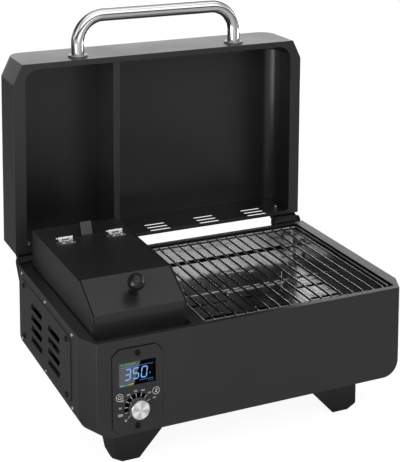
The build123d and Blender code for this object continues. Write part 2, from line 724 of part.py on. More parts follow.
# bent hopper lid: flat, slope and lip in one sheet
slope = Vector(0, hopper_nose_y - hopper_ridge_y, hopper_nose_z - hopper_top).normalized()
lid_under = hopper_top - sheet
slope_normal = Vector(0, slope.Z, -slope.Y)
inner_ridge = (hopper_ridge_y + sheet * 0.27, hopper_top - sheet)
inner_nose = (hopper_nose_y + sheet, hopper_nose_z - sheet * 0.55)
knob_distance = 0.54
knob_foot = Vector(hopper_mid_x, hopper_ridge_y + (hopper_nose_y - hopper_ridge_y) * knob_distance,
                   hopper_top + (hopper_nose_z - hopper_top) * knob_distance)
knob_plane = Plane(origin=knob_foot, x_dir=(1, 0, 0), z_dir=slope_normal)
with BuildPart() as hopper_lid:
    add(prism(Plane.YZ.offset(lid_left),
              [(hopper_hinge_y - 1.7, hopper_top), (hopper_ridge_y, hopper_top),
               (hopper_nose_y, hopper_nose_z), (hopper_nose_y, hopper_lip_z),
               (hopper_nose_y + sheet, hopper_lip_z), inner_nose, inner_ridge,
               (hopper_hinge_y - 1.7, lid_under)], lid_right - lid_left))
    add(drill(knob_plane, [(0, 0)], 2.6, 3), mode=Mode.SUBTRACT)
hopper_lid.part.label = "hopper_lid"
export_step(hopper_lid.part, "parts/hopper_lid.step")

ball_radius = 12.5
ball_height = 21.0
with BuildPart() as hopper_lid_knob:
    with Locations(knob_plane.location):
        Cylinder(7.5, 2, align=(Align.CENTER, Align.CENTER, Align.MIN))
        Cylinder(4.5, ball_height, align=(Align.CENTER, Align.CENTER, Align.MIN))
        Cylinder(2.5, 7, align=(Align.CENTER, Align.CENTER, Align.MAX))
    with Locations(knob_plane.offset(ball_height).location):
        Sphere(ball_radius)
hopper_lid_knob.part.label = "hopper_lid_knob"
export_step(hopper_lid_knob.part, "parts/hopper_lid_knob.step")

# two small butt hinges: each has two outer knuckles on the lid and one middle knuckle on the deck
small_hinge_mids = (hopper_mid_x - 37.3, hopper_mid_x + 46.4)
small_hinge_length = 24.0
leaf_sheet = 1.0
knuckle_radius = 2.6
small_pin_radius = 1.3
outer_knuckle = 6.5
leaf_gap = 0.25
lid_leaf_front = 69.0
rivet_radius = 1.3
rivet_spots = [(mid + shift, 73.5) for mid in small_hinge_mids for shift in (-6.5, 6.5)]
deck_leaf_back = hopper_hinge_y + 13.0


def knuckle(low_x, high_x):
    """Short round barrel on the small hinge line, with the bore for its pin."""
    with BuildPart() as barrel:
        with BuildSketch(Plane.YZ.offset(low_x)):
            with Locations((hopper_hinge_y, hopper_hinge_z)):
                Circle(knuckle_radius)
                Circle(small_pin_radius + running_gap, mode=Mode.SUBTRACT)
        extrude(amount=high_x - low_x)
    return barrel.part


with BuildPart() as hopper_hinge_moving_leaves:
    for mid in small_hinge_mids:
        low = mid - small_hinge_length / 2
        high = mid + small_hinge_length / 2
        add(box((low, lid_leaf_front, hopper_top), (high, hopper_hinge_y - 3.6, hopper_top + leaf_sheet)))
        for start in (low, high - outer_knuckle):
            add(box((start, hopper_hinge_y - 4.0, hopper_top),
                    (start + outer_knuckle, hopper_hinge_y, hopper_top + leaf_sheet)))
            add(knuckle(start, start + outer_knuckle))
    add(drill(Plane.XY.offset(hopper_top), rivet_spots, rivet_radius + 0.1, 3), mode=Mode.SUBTRACT)
hopper_hinge_moving_leaves.part.label = "hopper_hinge_moving_leaves"
export_step(hopper_hinge_moving_leaves.part, "parts/hopper_hinge_moving_leaves.step")

with BuildPart() as hopper_hinge_fixed_leaves:
    for mid in small_hinge_mids:
        low = mid - small_hinge_length / 2
        high = mid + small_hinge_length / 2
        add(box((low, hopper_hinge_y + 3.6, hopper_top), (high, deck_leaf_back, hopper_top + leaf_sheet)))
        add(box((low + outer_knuckle + leaf_gap, hopper_hinge_y + 0.3, hopper_top),
                (high - outer_knuckle - leaf_gap, hopper_hinge_y + 4.0, hopper_top + leaf_sheet)))
        add(knuckle(low + outer_knuckle + leaf_gap, high - outer_knuckle - leaf_gap))
hopper_hinge_fixed_leaves.part.label = "hopper_hinge_fixed_leaves"
export_step(hopper_hinge_fixed_leaves.part, "parts/hopper_hinge_fixed_leaves.step")

with BuildPart() as hopper_hinge_pins:
    for mid in small_hinge_mids:
        with BuildSketch(Plane.YZ.offset(mid - small_hinge_length / 2 - 2.4)):
            with Locations((hopper_hinge_y, hopper_hinge_z)):
                Circle(small_pin_radius)
        extrude(amount=small_hinge_length + 2.8)
        with BuildSketch(Plane.YZ.offset(mid - small_hinge_length / 2 - 3.4)):
            with Locations((hopper_hinge_y, hopper_hinge_z)):
                Circle(2.0)
        extrude(amount=1.2)
hopper_hinge_pins.part.label = "hopper_hinge_pins"
export_step(hopper_hinge_pins.part, "parts/hopper_hinge_pins.step")

with BuildPart() as hopper_hinge_rivets:
    with Locations(*[(x, y, hopper_top + leaf_sheet) for x, y in rivet_spots]):
        Cylinder(2.4, 1.3, align=(Align.CENTER, Align.CENTER, Align.MIN))
        Cylinder(rivet_radius, leaf_sheet, align=(Align.CENTER, Align.CENTER, Align.MAX))
hopper_hinge_rivets.part.label = "hopper_hinge_rivets"
export_step(hopper_hinge_rivets.part, "parts/hopper_hinge_rivets.step")

# folded stop that the opened hopper lid leans on
stop_low_x = hopper_mid_x - 7.3
stop_width = 18.5
stop_front_y = 93.0
stop_back_y = 109.0
stop_height = 19.0
with BuildPart() as hopper_lid_stop:
    add(prism(Plane.YZ.offset(stop_low_x),
              [(stop_front_y, hopper_top), (stop_back_y, hopper_top),
               (stop_back_y - 7, hopper_top + stop_height), (stop_front_y + 8, hopper_top + stop_height)],
              stop_width))
hopper_lid_stop.part.label = "hopper_lid_stop"
export_step(hopper_lid_stop.part, "parts/hopper_lid_stop.step")


# ---------------------------------------------------------------- controls
button_spots = [(panel_x + side * button_spread / 2, button_z) for side in (-1, 1)]
knob_spot = (panel_x, knob_z)
with BuildPart() as control_panel:
    with BuildSketch(front_face) as panel_outline:
        with Locations((panel_x, panel_z)):
            Rectangle(panel_width, panel_height)
        chamfer(panel_outline.vertices(), 9.5)
        with Locations((panel_x, display_z)):
            RectangleRounded(display_width + fit_gap, display_height + fit_gap, 1.5, mode=Mode.SUBTRACT)
        with Locations(*button_spots):
            Circle(button_radius + fit_gap, mode=Mode.SUBTRACT)
        with Locations(knob_spot):
            Circle(5, mode=Mode.SUBTRACT)
        with Locations(*panel_screw_spots):
            Circle(screw_radius + fit_gap, mode=Mode.SUBTRACT)
    extrude(amount=panel_thickness)
control_panel.part.label = "control_panel"
export_step(control_panel.part, "parts/control_panel.step")

with BuildPart() as control_panel_screws:
    add(pan_screws(front_face.offset(panel_thickness), panel_screw_spots, pan_head_radius,
                   pan_head_height, 7))
control_panel_screws.part.label = "control_panel_screws"
export_step(control_panel_screws.part, "parts/control_panel_screws.step")

with BuildPart() as display_lens:
    with BuildSketch(front_face.offset(0.3)):
        with Locations((panel_x, display_z)):
            RectangleRounded(display_width, display_height, 1.4)
    extrude(amount=1.5)
display_lens.part.label = "display_lens"
export_step(display_lens.part, "parts/display_lens.step")

with BuildPart() as display_module:
    add(box((panel_x - 27, front_y + 0.1, display_z - 17), (panel_x + 27, board_y, display_z + 17)))
display_module.part.label = "display_module"
export_step(display_module.part, "parts/display_module.step")

board_half_width = 36.0
board_half_height = 55.0
standoff_spots = grid((panel_x, panel_z), (66.0, 100.0), (2, 2))
board_plane = Plane.XZ.offset(-board_y)
with BuildPart() as controller_board:
    with BuildSketch(board_plane):
        with Locations((panel_x, panel_z)):
            Rectangle(2 * board_half_width, 2 * board_half_height)
    extrude(amount=-1.6)
controller_board.part.label = "controller_board"
export_step(controller_board.part, "parts/controller_board.step")

with BuildPart() as board_standoffs:
    with BuildSketch(board_plane):
        with Locations(*standoff_spots):
            Circle(3)
    extrude(amount=board_y - front_y - sheet)
board_standoffs.part.label = "board_standoffs"
export_step(board_standoffs.part, "parts/board_standoffs.step")

button_travel = 1.0
switch_front_y = front_y + 7.6
with BuildPart() as button_switches:
    with BuildSketch(board_plane):
        with Locations(*button_spots):
            Rectangle(6, 6)
    extrude(amount=board_y - switch_front_y)
button_switches.part.label = "button_switches"
export_step(button_switches.part, "parts/button_switches.step")


def push_button(spot):
    """Round cap through the panel, a flange that keeps it in, and a stem to its switch."""
    with BuildPart() as cap:
        with BuildSketch(front_face.offset(panel_thickness + 0.9)):
            with Locations(spot):
                Circle(button_radius)
        extrude(amount=-(panel_thickness + 0.9))
        with BuildSketch(front_face.offset(-0.1)):
            with Locations(spot):
                Circle(button_radius + 0.9)
        extrude(amount=-1.2)
        with BuildSketch(front_face):
            with Locations(spot):
                Circle(2)
        extrude(amount=-(switch_front_y - front_y - button_travel - 0.1))
        with BuildSketch(front_face):
            with Locations(spot):
                Circle(button_radius)
        extrude(amount=-0.2)
    return cap.part


with BuildPart() as left_button:
    add(push_button(button_spots[0]))
left_button.part.label = "left_button"
export_step(left_button.part, "parts/left_button.step")

with BuildPart() as right_button:
    add(push_button(button_spots[1]))
right_button.part.label = "right_button"
export_step(right_button.part, "parts/right_button.step")

knob_gap = 0.6
knob_plane_back = front_face.offset(panel_thickness + knob_gap)
shaft_depth = 9.0
with BuildPart() as temperature_knob:
    with BuildSketch(knob_plane_back):
        with Locations(knob_spot):
            Circle(knob_radius)
    extrude(amount=knob_height)
    chamfer(temperature_knob.edges().filter_by(GeomType.CIRCLE).group_by(Axis.Y)[0], 1.2)
    with BuildSketch(knob_plane_back):
        with Locations(knob_spot):
            Circle(knob_shaft_radius + running_gap)
    extrude(amount=shaft_depth, mode=Mode.SUBTRACT)
temperature_knob.part.label = "temperature_knob"
export_step(temperature_knob.part, "parts/temperature_knob.step")

encoder_front_y = front_y + 8.0
shaft_back_y = encoder_front_y + 3.0
with BuildPart() as knob_shaft:
    with BuildSketch(Plane.XZ.offset(-shaft_back_y)):
        with Locations(knob_spot):
            Circle(knob_shaft_radius)
    extrude(amount=shaft_back_y - panel_front_y + knob_gap + shaft_depth - 0.5)
knob_shaft.part.label = "knob_shaft"
export_step(knob_shaft.part, "parts/knob_shaft.step")

with BuildPart() as knob_encoder:
    with BuildSketch(board_plane):
        with Locations(knob_spot):
            Rectangle(13, 13)
    extrude(amount=board_y - encoder_front_y)
    with BuildSketch(Plane.XZ.offset(-encoder_front_y)):
        with Locations(knob_spot):
            Circle(4.6)
    extrude(amount=encoder_front_y - front_y - 0.5)
    with BuildSketch(Plane.XZ.offset(-shaft_back_y - 0.3)):
        with Locations(knob_spot):
            Circle(knob_shaft_radius + running_gap)
    extrude(amount=20, mode=Mode.SUBTRACT)
knob_encoder.part.label = "knob_encoder"
export_step(knob_encoder.part, "parts/knob_encoder.step")

with BuildPart() as power_inlet:
    with BuildSketch(back_face):
        with Locations((inlet_x, inlet_z)):
            Circle(9)
            Circle(3.2, mode=Mode.SUBTRACT)
    extrude(amount=-2)
    with BuildSketch(back_face):
        with Locations((inlet_x, inlet_z)):
            Circle(6)
            Circle(3.2, mode=Mode.SUBTRACT)
    extrude(amount=14)
    with BuildSketch(back_face.offset(14)):
        with Locations((inlet_x, inlet_z)):
            Circle(6)
    extrude(amount=2)
power_inlet.part.label = "power_inlet"
export_step(power_inlet.part, "parts/power_inlet.step")

wire_radius = 1.6
wire_x = -232.0
wire_floor_z = floor_z + 12.0
board_back_y = board_y + 1.6
with BuildPart() as wiring:
    add(tube([(panel_x - 20, board_back_y, panel_z - 30), (panel_x - 20, board_back_y + 22, panel_z - 30),
              (wire_x + 4, -90, wire_floor_z), (wire_x + 4, 110, wire_floor_z),
              (inlet_x, back_y - 40, inlet_z), (inlet_x, back_y - 16, inlet_z)], 8, wire_radius, 0))
    add(tube([(panel_x + 20, board_back_y, panel_z - 30), (panel_x + 20, board_back_y + 22, panel_z - 30),
              (partition_x - 30, -40, wire_floor_z), (partition_x - 24.3, auger_y - 40, auger_z - 23),
              (partition_x - 24.3, auger_y - 4.5, auger_z - 23)],
             6, wire_radius, 0))
wiring.part.label = "wiring"
export_step(wiring.part, "parts/wiring.step")


# ---------------------------------------------------------------- lid, drawn closed
lid_low = rim_z + lid_rim_gap
lid_high = rim_z + lid_height
handle_leg_x = 143.5
handle_z = rim_z + 28.5
handle_reach = 66.5
handle_radius = 11.0
handle_bend = 44.0
handle_wall = 1.2
handle_foot = 3.0
leaf_bolt_x = 233.0
leaf_bolt_z = rim_z + 29.0
vent_group_x = (0.0, 93.5, 187.0)
vent_rows_z = (16.0, 29.0, 42.0)
vent_length = 39.0
vent_width = 6.6
handle_spots = [(-handle_leg_x, handle_z), (handle_leg_x, handle_z)]
leaf_bolt_spots = [(-leaf_bolt_x, leaf_bolt_z), (leaf_bolt_x, leaf_bolt_z)]

lid_outside = hull(side_x, front_y, back_y, lid_low, lid_high, corner_radius, -1)
lid_inside = hull(side_x - sheet, front_y + sheet, back_y - sheet, lid_low + sheet, lid_high - sheet,
                  corner_radius - sheet, -1)
with BuildPart() as closed_lid:
    add(lid_outside)
    fillet(closed_lid.edges().filter_by(Axis.X).group_by(Axis.Z)[-1], 1.2)
    add(lid_inside, mode=Mode.SUBTRACT)
    add(rim_opening(lid_rim_side, lid_rim_front, lid_rim_back, lid_low - 1, lid_low + sheet + 1, 24, 4),
        mode=Mode.SUBTRACT)
    with BuildSketch(back_face):
        with Locations(*[(x, rim_z + z) for x in vent_group_x for z in vent_rows_z]):
            SlotOverall(vent_length, vent_width)
        with Locations(*leaf_bolt_spots):
            Circle(2.6)
    extrude(amount=5, both=True, mode=Mode.SUBTRACT)
    add(drill(front_face, handle_spots, 3.2, 5), mode=Mode.SUBTRACT)
with BuildPart() as lid_shell:
    add(opened(closed_lid.part))
lid_shell.part.label = "lid_shell"
export_step(lid_shell.part, "parts/lid_shell.step")

divider_mid_x = -86.0
divider_flange = 10.0
divider_low = lid_low
divider_high = lid_high - sheet - 0.2
with BuildPart() as closed_divider:
    add(box((divider_mid_x - divider_flange / 2, front_y + lid_rim_front + 0.3, divider_low),
            (divider_mid_x + divider_flange / 2, back_y - lid_rim_back - 0.3, divider_low + sheet)))
    add(box((divider_mid_x - sheet / 2, front_y + sheet + 0.2, divider_low + 2 * sheet),
            (divider_mid_x + sheet / 2, back_y - sheet - 0.2, divider_high)))
    add(box((divider_mid_x - sheet / 2, front_y + lid_rim_front + 0.3, divider_low),
            (divider_mid_x + sheet / 2, back_y - lid_rim_back - 0.3, divider_low + 3 * sheet)))
with BuildPart() as lid_divider:
    add(opened(closed_divider.part))
lid_divider.part.label = "lid_divider"
export_step(lid_divider.part, "parts/lid_divider.step")

tube_y = front_y - handle_reach
handle_start_y = front_y - handle_foot
with BuildPart() as lid_handle:
    add(opened(tube([(-handle_leg_x, handle_start_y, handle_z), (-handle_leg_x, tube_y, handle_z),
                     (handle_leg_x, tube_y, handle_z), (handle_leg_x, handle_start_y, handle_z)],
                    handle_bend, handle_radius, handle_wall)))
lid_handle.part.label = "lid_handle"
export_step(lid_handle.part, "parts/lid_handle.step")

with BuildPart() as closed_flanges:
    with BuildSketch(front_face):
        with Locations(*handle_spots):
            Circle(16.5)
            Circle(3.2, mode=Mode.SUBTRACT)
    extrude(amount=handle_foot)
    fillet(closed_flanges.edges().filter_by(GeomType.CIRCLE).group_by(Axis.Y)[0]
           .group_by(SortBy.RADIUS)[-1], 1.2)
    with BuildSketch(front_face.offset(handle_foot)):
        with Locations(*handle_spots):
            Circle(handle_radius - handle_wall - 0.05)
            Circle(3.2, mode=Mode.SUBTRACT)
    extrude(amount=7)
with BuildPart() as handle_flanges:
    add(opened(closed_flanges.part))
handle_flanges.part.label = "handle_flanges"
export_step(handle_flanges.part, "parts/handle_flanges.step")

inner_front = Plane(origin=(0, front_y + sheet, 0), x_dir=(-1, 0, 0), z_dir=(0, 1, 0))
with BuildPart() as closed_handle_screws:
    with BuildSketch(inner_front):
        with Locations(*[(-x, z) for x, z in handle_spots]):
            Circle(5.5)
    extrude(amount=2.6)
    with BuildSketch(inner_front):
        with Locations(*[(-x, z) for x, z in handle_spots]):
            Circle(3.0)
    extrude(amount=-11)
with BuildPart() as handle_screws:
    add(opened(closed_handle_screws.part))
handle_screws.part.label = "handle_screws"
export_step(handle_screws.part, "parts/handle_screws.step")


# ---------------------------------------------------------------- main hinges
hinge_low_x = 210.5
hinge_high_x = 261.5
ear_sheet = 2.5
ear_radius = 8.0
hinge_plate = 2.0
plate_back_y = back_y + hinge_plate
lid_ear_gap = 0.8
lid_ear_radius = 6.5


def tub_ear(low_x):
    """Upright ear of the tub bracket with the round eye for the hinge pin."""
    with BuildPart() as ear:
        with BuildSketch(Plane.YZ.offset(low_x)):
            with BuildLine():
                Polyline((back_y, rim_z - 32), (back_y, rim_z - 8), (hinge_y - 4, hinge_z + 6.9),
                         (hinge_y + 7.5, hinge_z - 2.7), close=True)
            make_face()
            with Locations((hinge_y, hinge_z)):
                Circle(ear_radius)
                Circle(hinge_pin_radius + fit_gap, mode=Mode.SUBTRACT)
        extrude(amount=ear_sheet)
    return ear.part


def lid_knuckle(low_x, high_x, radius):
    """Slice of the lid leaf's knuckle, drawn closed: it reaches down from the leaf and wraps the pin."""
    tangent_back = (hinge_y + 0.85 * radius, hinge_z + 0.52 * radius)
    tangent_front = (hinge_y - 0.8 * radius, hinge_z - 0.6 * radius)
    with BuildPart() as knuckle:
        with BuildSketch(Plane.YZ.offset(low_x)):
            with BuildLine():
                Polyline((back_y, rim_z + 8), (back_y, rim_z + 24), tangent_back, tangent_front, close=True)
            make_face()
            with Locations((hinge_y, hinge_z)):
                Circle(radius)
                Circle(hinge_pin_radius + running_gap, mode=Mode.SUBTRACT)
        extrude(amount=high_x - low_x)
    return knuckle.part


barrel_radius = 5.2
right_bracket_spots = [spot for spot in bracket_screw_spots if spot[0] > 0]
with BuildPart() as right_bracket:
    add(box((hinge_low_x, back_y, rim_z - 32), (hinge_high_x, plate_back_y, rim_z - 8)))
    for low_x in (hinge_low_x, hinge_high_x - ear_sheet):
        add(tub_ear(low_x))
    add(drill(back_face, right_bracket_spots, screw_radius + fit_gap, 5), mode=Mode.SUBTRACT)
with BuildPart() as lid_hinge_brackets:
    add(right_bracket.part)
    add(right_bracket.part.mirror(Plane.YZ))
lid_hinge_brackets.part.label = "lid_hinge_brackets"
export_step(lid_hinge_brackets.part, "parts/lid_hinge_brackets.step")

leaf_low_x = hinge_low_x + ear_sheet + lid_ear_gap
leaf_high_x = hinge_high_x - ear_sheet - lid_ear_gap
barrel_low_x = leaf_low_x + ear_sheet
barrel_high_x = leaf_high_x - ear_sheet
with BuildPart() as closed_right_leaf:
    add(box((leaf_low_x, back_y, rim_z + 8), (leaf_high_x, plate_back_y, rim_z + 40)))
    add(lid_knuckle(leaf_low_x, barrel_low_x, lid_ear_radius))
    add(lid_knuckle(barrel_low_x, barrel_high_x, barrel_radius))
    add(lid_knuckle(barrel_high_x, leaf_high_x, lid_ear_radius))
    add(drill(back_face, [leaf_bolt_spots[1]], 2.6, 5), mode=Mode.SUBTRACT)
with BuildPart() as lid_hinge_leaves:
    add(opened(closed_right_leaf.part))
    add(opened(closed_right_leaf.part).mirror(Plane.YZ))
lid_hinge_leaves.part.label = "lid_hinge_leaves"
export_step(lid_hinge_leaves.part, "parts/lid_hinge_leaves.step")

with BuildPart() as right_pin:
    with BuildSketch(Plane.YZ.offset(hinge_low_x - 1.5)):
        with Locations((hinge_y, hinge_z)):
            Circle(hinge_pin_radius)
    extrude(amount=hinge_high_x - hinge_low_x + 2)
    with BuildSketch(Plane.YZ.offset(hinge_low_x)):
        with Locations((hinge_y, hinge_z)):
            Circle(hinge_pin_radius + 1.8)
    extrude(amount=-1.5)
with BuildPart() as lid_hinge_pins:
    add(right_pin.part)
    add(right_pin.part.mirror(Plane.YZ))
lid_hinge_pins.part.label = "lid_hinge_pins"
export_step(lid_hinge_pins.part, "parts/lid_hinge_pins.step")

inner_back = Plane.XZ.offset(-back_y + sheet)
bolt_radius = 2.4
nut_height = 4.0
with BuildPart() as closed_bolts:
    with BuildSketch(Plane.XZ.offset(-plate_back_y)):
        with Locations(*leaf_bolt_spots):
            Circle(4.5)
    extrude(amount=-2.5)
    with BuildSketch(Plane.XZ.offset(-plate_back_y)):
        with Locations(*leaf_bolt_spots):
            Circle(bolt_radius)
    extrude(amount=hinge_plate + sheet + nut_height + 3)
with BuildPart() as lid_hinge_bolts:
    add(opened(closed_bolts.part))
lid_hinge_bolts.part.label = "lid_hinge_bolts"
export_step(lid_hinge_bolts.part, "parts/lid_hinge_bolts.step")

with BuildPart() as closed_nuts:
    with BuildSketch(inner_back):
        with Locations(*leaf_bolt_spots):
            RegularPolygon(4.6, 6)
            Circle(bolt_radius + running_gap, mode=Mode.SUBTRACT)
    extrude(amount=nut_height)
with BuildPart() as lid_hinge_nuts:
    add(opened(closed_nuts.part))
lid_hinge_nuts.part.label = "lid_hinge_nuts"
export_step(lid_hinge_nuts.part, "parts/lid_hinge_nuts.step")

bracket_outer = Plane(origin=(0, plate_back_y, 0), x_dir=(-1, 0, 0), z_dir=(0, 1, 0))
with BuildPart() as hinge_bracket_screws:
    add(pan_screws(bracket_outer, [(-x, z) for x, z in bracket_screw_spots], 3.8, 2.0, 8))
hinge_bracket_screws.part.label = "hinge_bracket_screws"
export_step(hinge_bracket_screws.part, "parts/hinge_bracket_screws.step")
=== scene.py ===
import json
import math
import random
import bmesh
import bpy
from mathutils import Matrix, Vector


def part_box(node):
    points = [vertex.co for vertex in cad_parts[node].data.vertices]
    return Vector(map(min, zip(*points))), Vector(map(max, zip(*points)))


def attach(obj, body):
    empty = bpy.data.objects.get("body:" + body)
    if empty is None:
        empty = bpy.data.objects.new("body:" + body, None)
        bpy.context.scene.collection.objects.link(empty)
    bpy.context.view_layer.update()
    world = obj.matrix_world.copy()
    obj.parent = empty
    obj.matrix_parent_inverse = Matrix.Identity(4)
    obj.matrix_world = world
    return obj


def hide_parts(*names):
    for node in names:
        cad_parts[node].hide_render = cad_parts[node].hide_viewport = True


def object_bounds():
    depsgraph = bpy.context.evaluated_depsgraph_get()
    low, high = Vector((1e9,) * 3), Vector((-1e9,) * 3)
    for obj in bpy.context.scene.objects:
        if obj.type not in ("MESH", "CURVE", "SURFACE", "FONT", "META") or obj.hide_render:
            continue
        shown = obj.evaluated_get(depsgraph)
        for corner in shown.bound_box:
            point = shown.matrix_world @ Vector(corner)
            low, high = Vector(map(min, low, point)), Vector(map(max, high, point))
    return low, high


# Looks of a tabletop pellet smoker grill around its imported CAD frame. Metres, in the row's own frame:
# X right, Y back, Z up, origin at the centre of the tub's underside.
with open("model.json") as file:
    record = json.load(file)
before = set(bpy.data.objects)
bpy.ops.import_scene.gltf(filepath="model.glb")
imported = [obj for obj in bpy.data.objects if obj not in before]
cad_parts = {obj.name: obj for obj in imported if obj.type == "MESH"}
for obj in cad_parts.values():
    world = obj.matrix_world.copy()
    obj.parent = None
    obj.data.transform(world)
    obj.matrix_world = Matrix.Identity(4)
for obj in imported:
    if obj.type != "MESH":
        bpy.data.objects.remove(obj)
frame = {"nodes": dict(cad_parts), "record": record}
cad_low, cad_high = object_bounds()

MM = 0.001
nodes = frame["nodes"]
ground_z = cad_low.z
body_low, body_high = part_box("body_shell")
front_y = body_low.y
rim_z = body_high.z
panel_low, panel_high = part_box("control_panel")
panel_face_y = panel_low.y
lens_low, lens_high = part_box("display_lens")
knob_low, knob_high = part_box("temperature_knob")
knob_centre = (knob_low + knob_high) / 2


# ---------------------------------------------------------------- shader building blocks
# Most of a noise lies between these two values.
NOISE_LOW = 0.3
NOISE_HIGH = 0.7


class NodeBuilder:
    """Fills one node tree. The inputs of a node are plain values or other nodes' sockets."""

    def __init__(self, tree):
        self.tree = tree
        self.tree.nodes.clear()

    def add(self, kind, inputs=None, **settings):
        """Makes a node and sets it up before its inputs are filled."""
        node = self.tree.nodes.new(kind)
        for key, value in settings.items():
            setattr(node, key, value)
        for key, value in (inputs or {}).items():
            if isinstance(value, bpy.types.NodeSocket):
                self.tree.links.new(value, node.inputs[key])
            else:
                node.inputs[key].default_value = value
        return node

    def math(self, operation, a, b=0.0, clamp=False):
        """One sum, whose second term counts only where the operation has one."""
        return self.add("ShaderNodeMath", {0: a, 1: b}, operation=operation, use_clamp=clamp).outputs[0]

    def remap(self, value, low, high, out_low=0.0, out_high=1.0):
        """Spreads the range low to high over out_low to out_high, and stays level beyond both ends."""
        values = {0: value, 1: low, 2: high, 3: out_low, 4: out_high}
        return self.add("ShaderNodeMapRange", values).outputs[0]

    def mix(self, factor, a, b):
        """Colour a where factor is 0 and colour b where it is 1."""
        return self.add("ShaderNodeMix", {0: factor, 6: a, 7: b}, data_type="RGBA").outputs[2]


class Shader(NodeBuilder):
    """A material being built. Its textures are placed in the object's own coordinates, in metres."""

    def __init__(self, name):
        self.material = bpy.data.materials.new(name)
        self.material.use_nodes = True
        super().__init__(self.material.node_tree)
        self.output = self.add("ShaderNodeOutputMaterial")
        self.place = self.add("ShaderNodeTexCoord").outputs["Object"]

    def noise(self, scale, detail=2.0, stretch=(1, 1, 1)):
        """Noise with about scale waves per metre, drawn out along the axes where stretch is small."""
        mapping = self.add("ShaderNodeMapping", {"Vector": self.place, "Scale": stretch})
        values = {"Vector": mapping.outputs[0], "Scale": scale, "Detail": detail}
        return self.add("ShaderNodeTexNoise", values).outputs[0]

    def spread(self, noise, out_low, out_high):
        """Spreads the usual range of a noise over out_low to out_high."""
        return self.remap(noise, NOISE_LOW, NOISE_HIGH, out_low, out_high)

    def soft_edges(self, radius):
        """Normal with the sharp edges rounded over by radius, for the shading only."""
        return self.add("ShaderNodeBevel", {"Radius": radius}, samples=4).outputs[0]

    def edge_mask(self, radius):
        """1 along sharp edges and 0 on flats, from how far the rounded normal leans."""
        agrees_on_flat = 0.995
        agrees_on_edge = 0.90
        rounded = self.soft_edges(radius)
        true_normal = self.add("ShaderNodeNewGeometry").outputs["True Normal"]
        agreement = self.add("ShaderNodeVectorMath", {0: rounded, 1: true_normal}, operation="DOT_PRODUCT")
        return self.remap(agreement.outputs["Value"], agrees_on_flat, agrees_on_edge)

    def bump(self, height, strength, distance, normal=None):
        """Normal with the height's relief pressed into it."""
        values = {"Height": height, "Strength": strength, "Distance": distance}
        if normal is not None:
            values["Normal"] = normal
        return self.add("ShaderNodeBump", values).outputs[0]

    def finish(self, **inputs):
        """Closes the material. An input's name has underscores in place of its spaces."""
        names = {key.replace("_", " "): value for key, value in inputs.items()}
        bsdf = self.add("ShaderNodeBsdfPrincipled", names)
        self.tree.links.new(bsdf.outputs[0], self.output.inputs[0])
        return self.material


def grey(value):
    """Opaque neutral colour."""
    return (value, value, value, 1.0)


# ---------------------------------------------------------------- materials
def powder_coat(name, tone=0.013, gloss=0.32, specular=0.58):
    """Satin black powder coat: fine orange peel, slow sheen changes and a painted edge highlight, partly
    faint wear.
    """
    edge_highlight_and_wear_width = 0.9 * MM
    edge_highlight_and_wear_share = 0.35
    edge_highlight_and_wear = grey(0.10)
    s = Shader(name)
    grain = s.noise(1100, 3)
    peel = s.noise(240, 2)
    clouds = s.noise(9, 3)
    patches = s.remap(s.noise(60, 4), 0.35, 0.75)
    # Sharp edges painted lighter in patches: a painted highlight along the edges, partly faint rubbed wear.
    highlight_and_wear_mask = s.math("MULTIPLY", s.edge_mask(edge_highlight_and_wear_width), patches, clamp=True)
    coated = s.mix(clouds, grey(tone * 0.85), grey(tone * 1.2))
    colour = s.mix(s.math("MULTIPLY", highlight_and_wear_mask, edge_highlight_and_wear_share), coated, edge_highlight_and_wear)
    rough = s.math("ADD", s.spread(clouds, gloss - 0.03, gloss + 0.04), s.spread(grain, -0.02, 0.02))
    peeled = s.bump(peel, strength=0.10, distance=0.3 * MM, normal=s.soft_edges(0.7 * MM))
    normal = s.bump(grain, strength=0.16, distance=0.12 * MM, normal=peeled)
    return s.finish(Base_Color=colour, Roughness=rough, Normal=normal, Specular_IOR_Level=specular)


def rolled_stainless(name):
    """Bright rolled stainless sheet: long fine grain, with a faint heat stain and a few dull smudges."""
    tone = 0.54
    gloss = 0.15
    heated = (tone * 0.84, tone * 0.81, tone * 0.77, 1)
    heated_share = 0.12
    s = Shader(name)
    grain = s.noise(700, 3, (0.04, 1, 1))
    stain = s.remap(s.noise(14, 4), 0.45, 0.75, 0.0, heated_share)
    smudge = s.remap(s.noise(55, 4), 0.5, 0.75, 0.0, 0.02)
    rough = s.math("ADD", s.spread(grain, gloss - 0.01, gloss + 0.01), smudge)
    normal = s.bump(grain, strength=0.003, distance=0.02 * MM)
    colour = s.mix(stain, grey(tone), heated)
    return s.finish(Base_Color=colour, Metallic=1.0, Roughness=rough, Normal=normal)


def polished_stainless(name):
    """Handle tube: bright polish with hair-fine lines round the tube and a few scuffs."""
    tone = 0.82
    s = Shader(name)
    lines = s.noise(2600, 2, (1, 0.08, 0.08))
    scuffs = s.remap(s.noise(130, 5), 0.6, 0.8, 0.0, 0.10)
    rough = s.math("ADD", s.spread(lines, 0.09, 0.13), scuffs)
    normal = s.bump(lines, strength=0.01, distance=0.02 * MM, normal=s.soft_edges(0.5 * MM))
    return s.finish(Base_Color=grey(tone), Metallic=1.0, Roughness=rough, Normal=normal)


def plated_wire(name):
    """Grate wire: dark plated steel, with uneven soot that makes it darker and duller."""
    clean = grey(0.34)
    sooty = (0.18, 0.17, 0.16, 1)
    s = Shader(name)
    soot = s.noise(70, 4)
    speck = s.noise(900, 2)
    colour = s.mix(s.spread(soot, 0.0, 1.0), clean, sooty)
    normal = s.bump(speck, strength=0.15, distance=0.08 * MM)
    return s.finish(Base_Color=colour, Metallic=1.0, Roughness=s.spread(soot, 0.14, 0.28), Normal=normal)


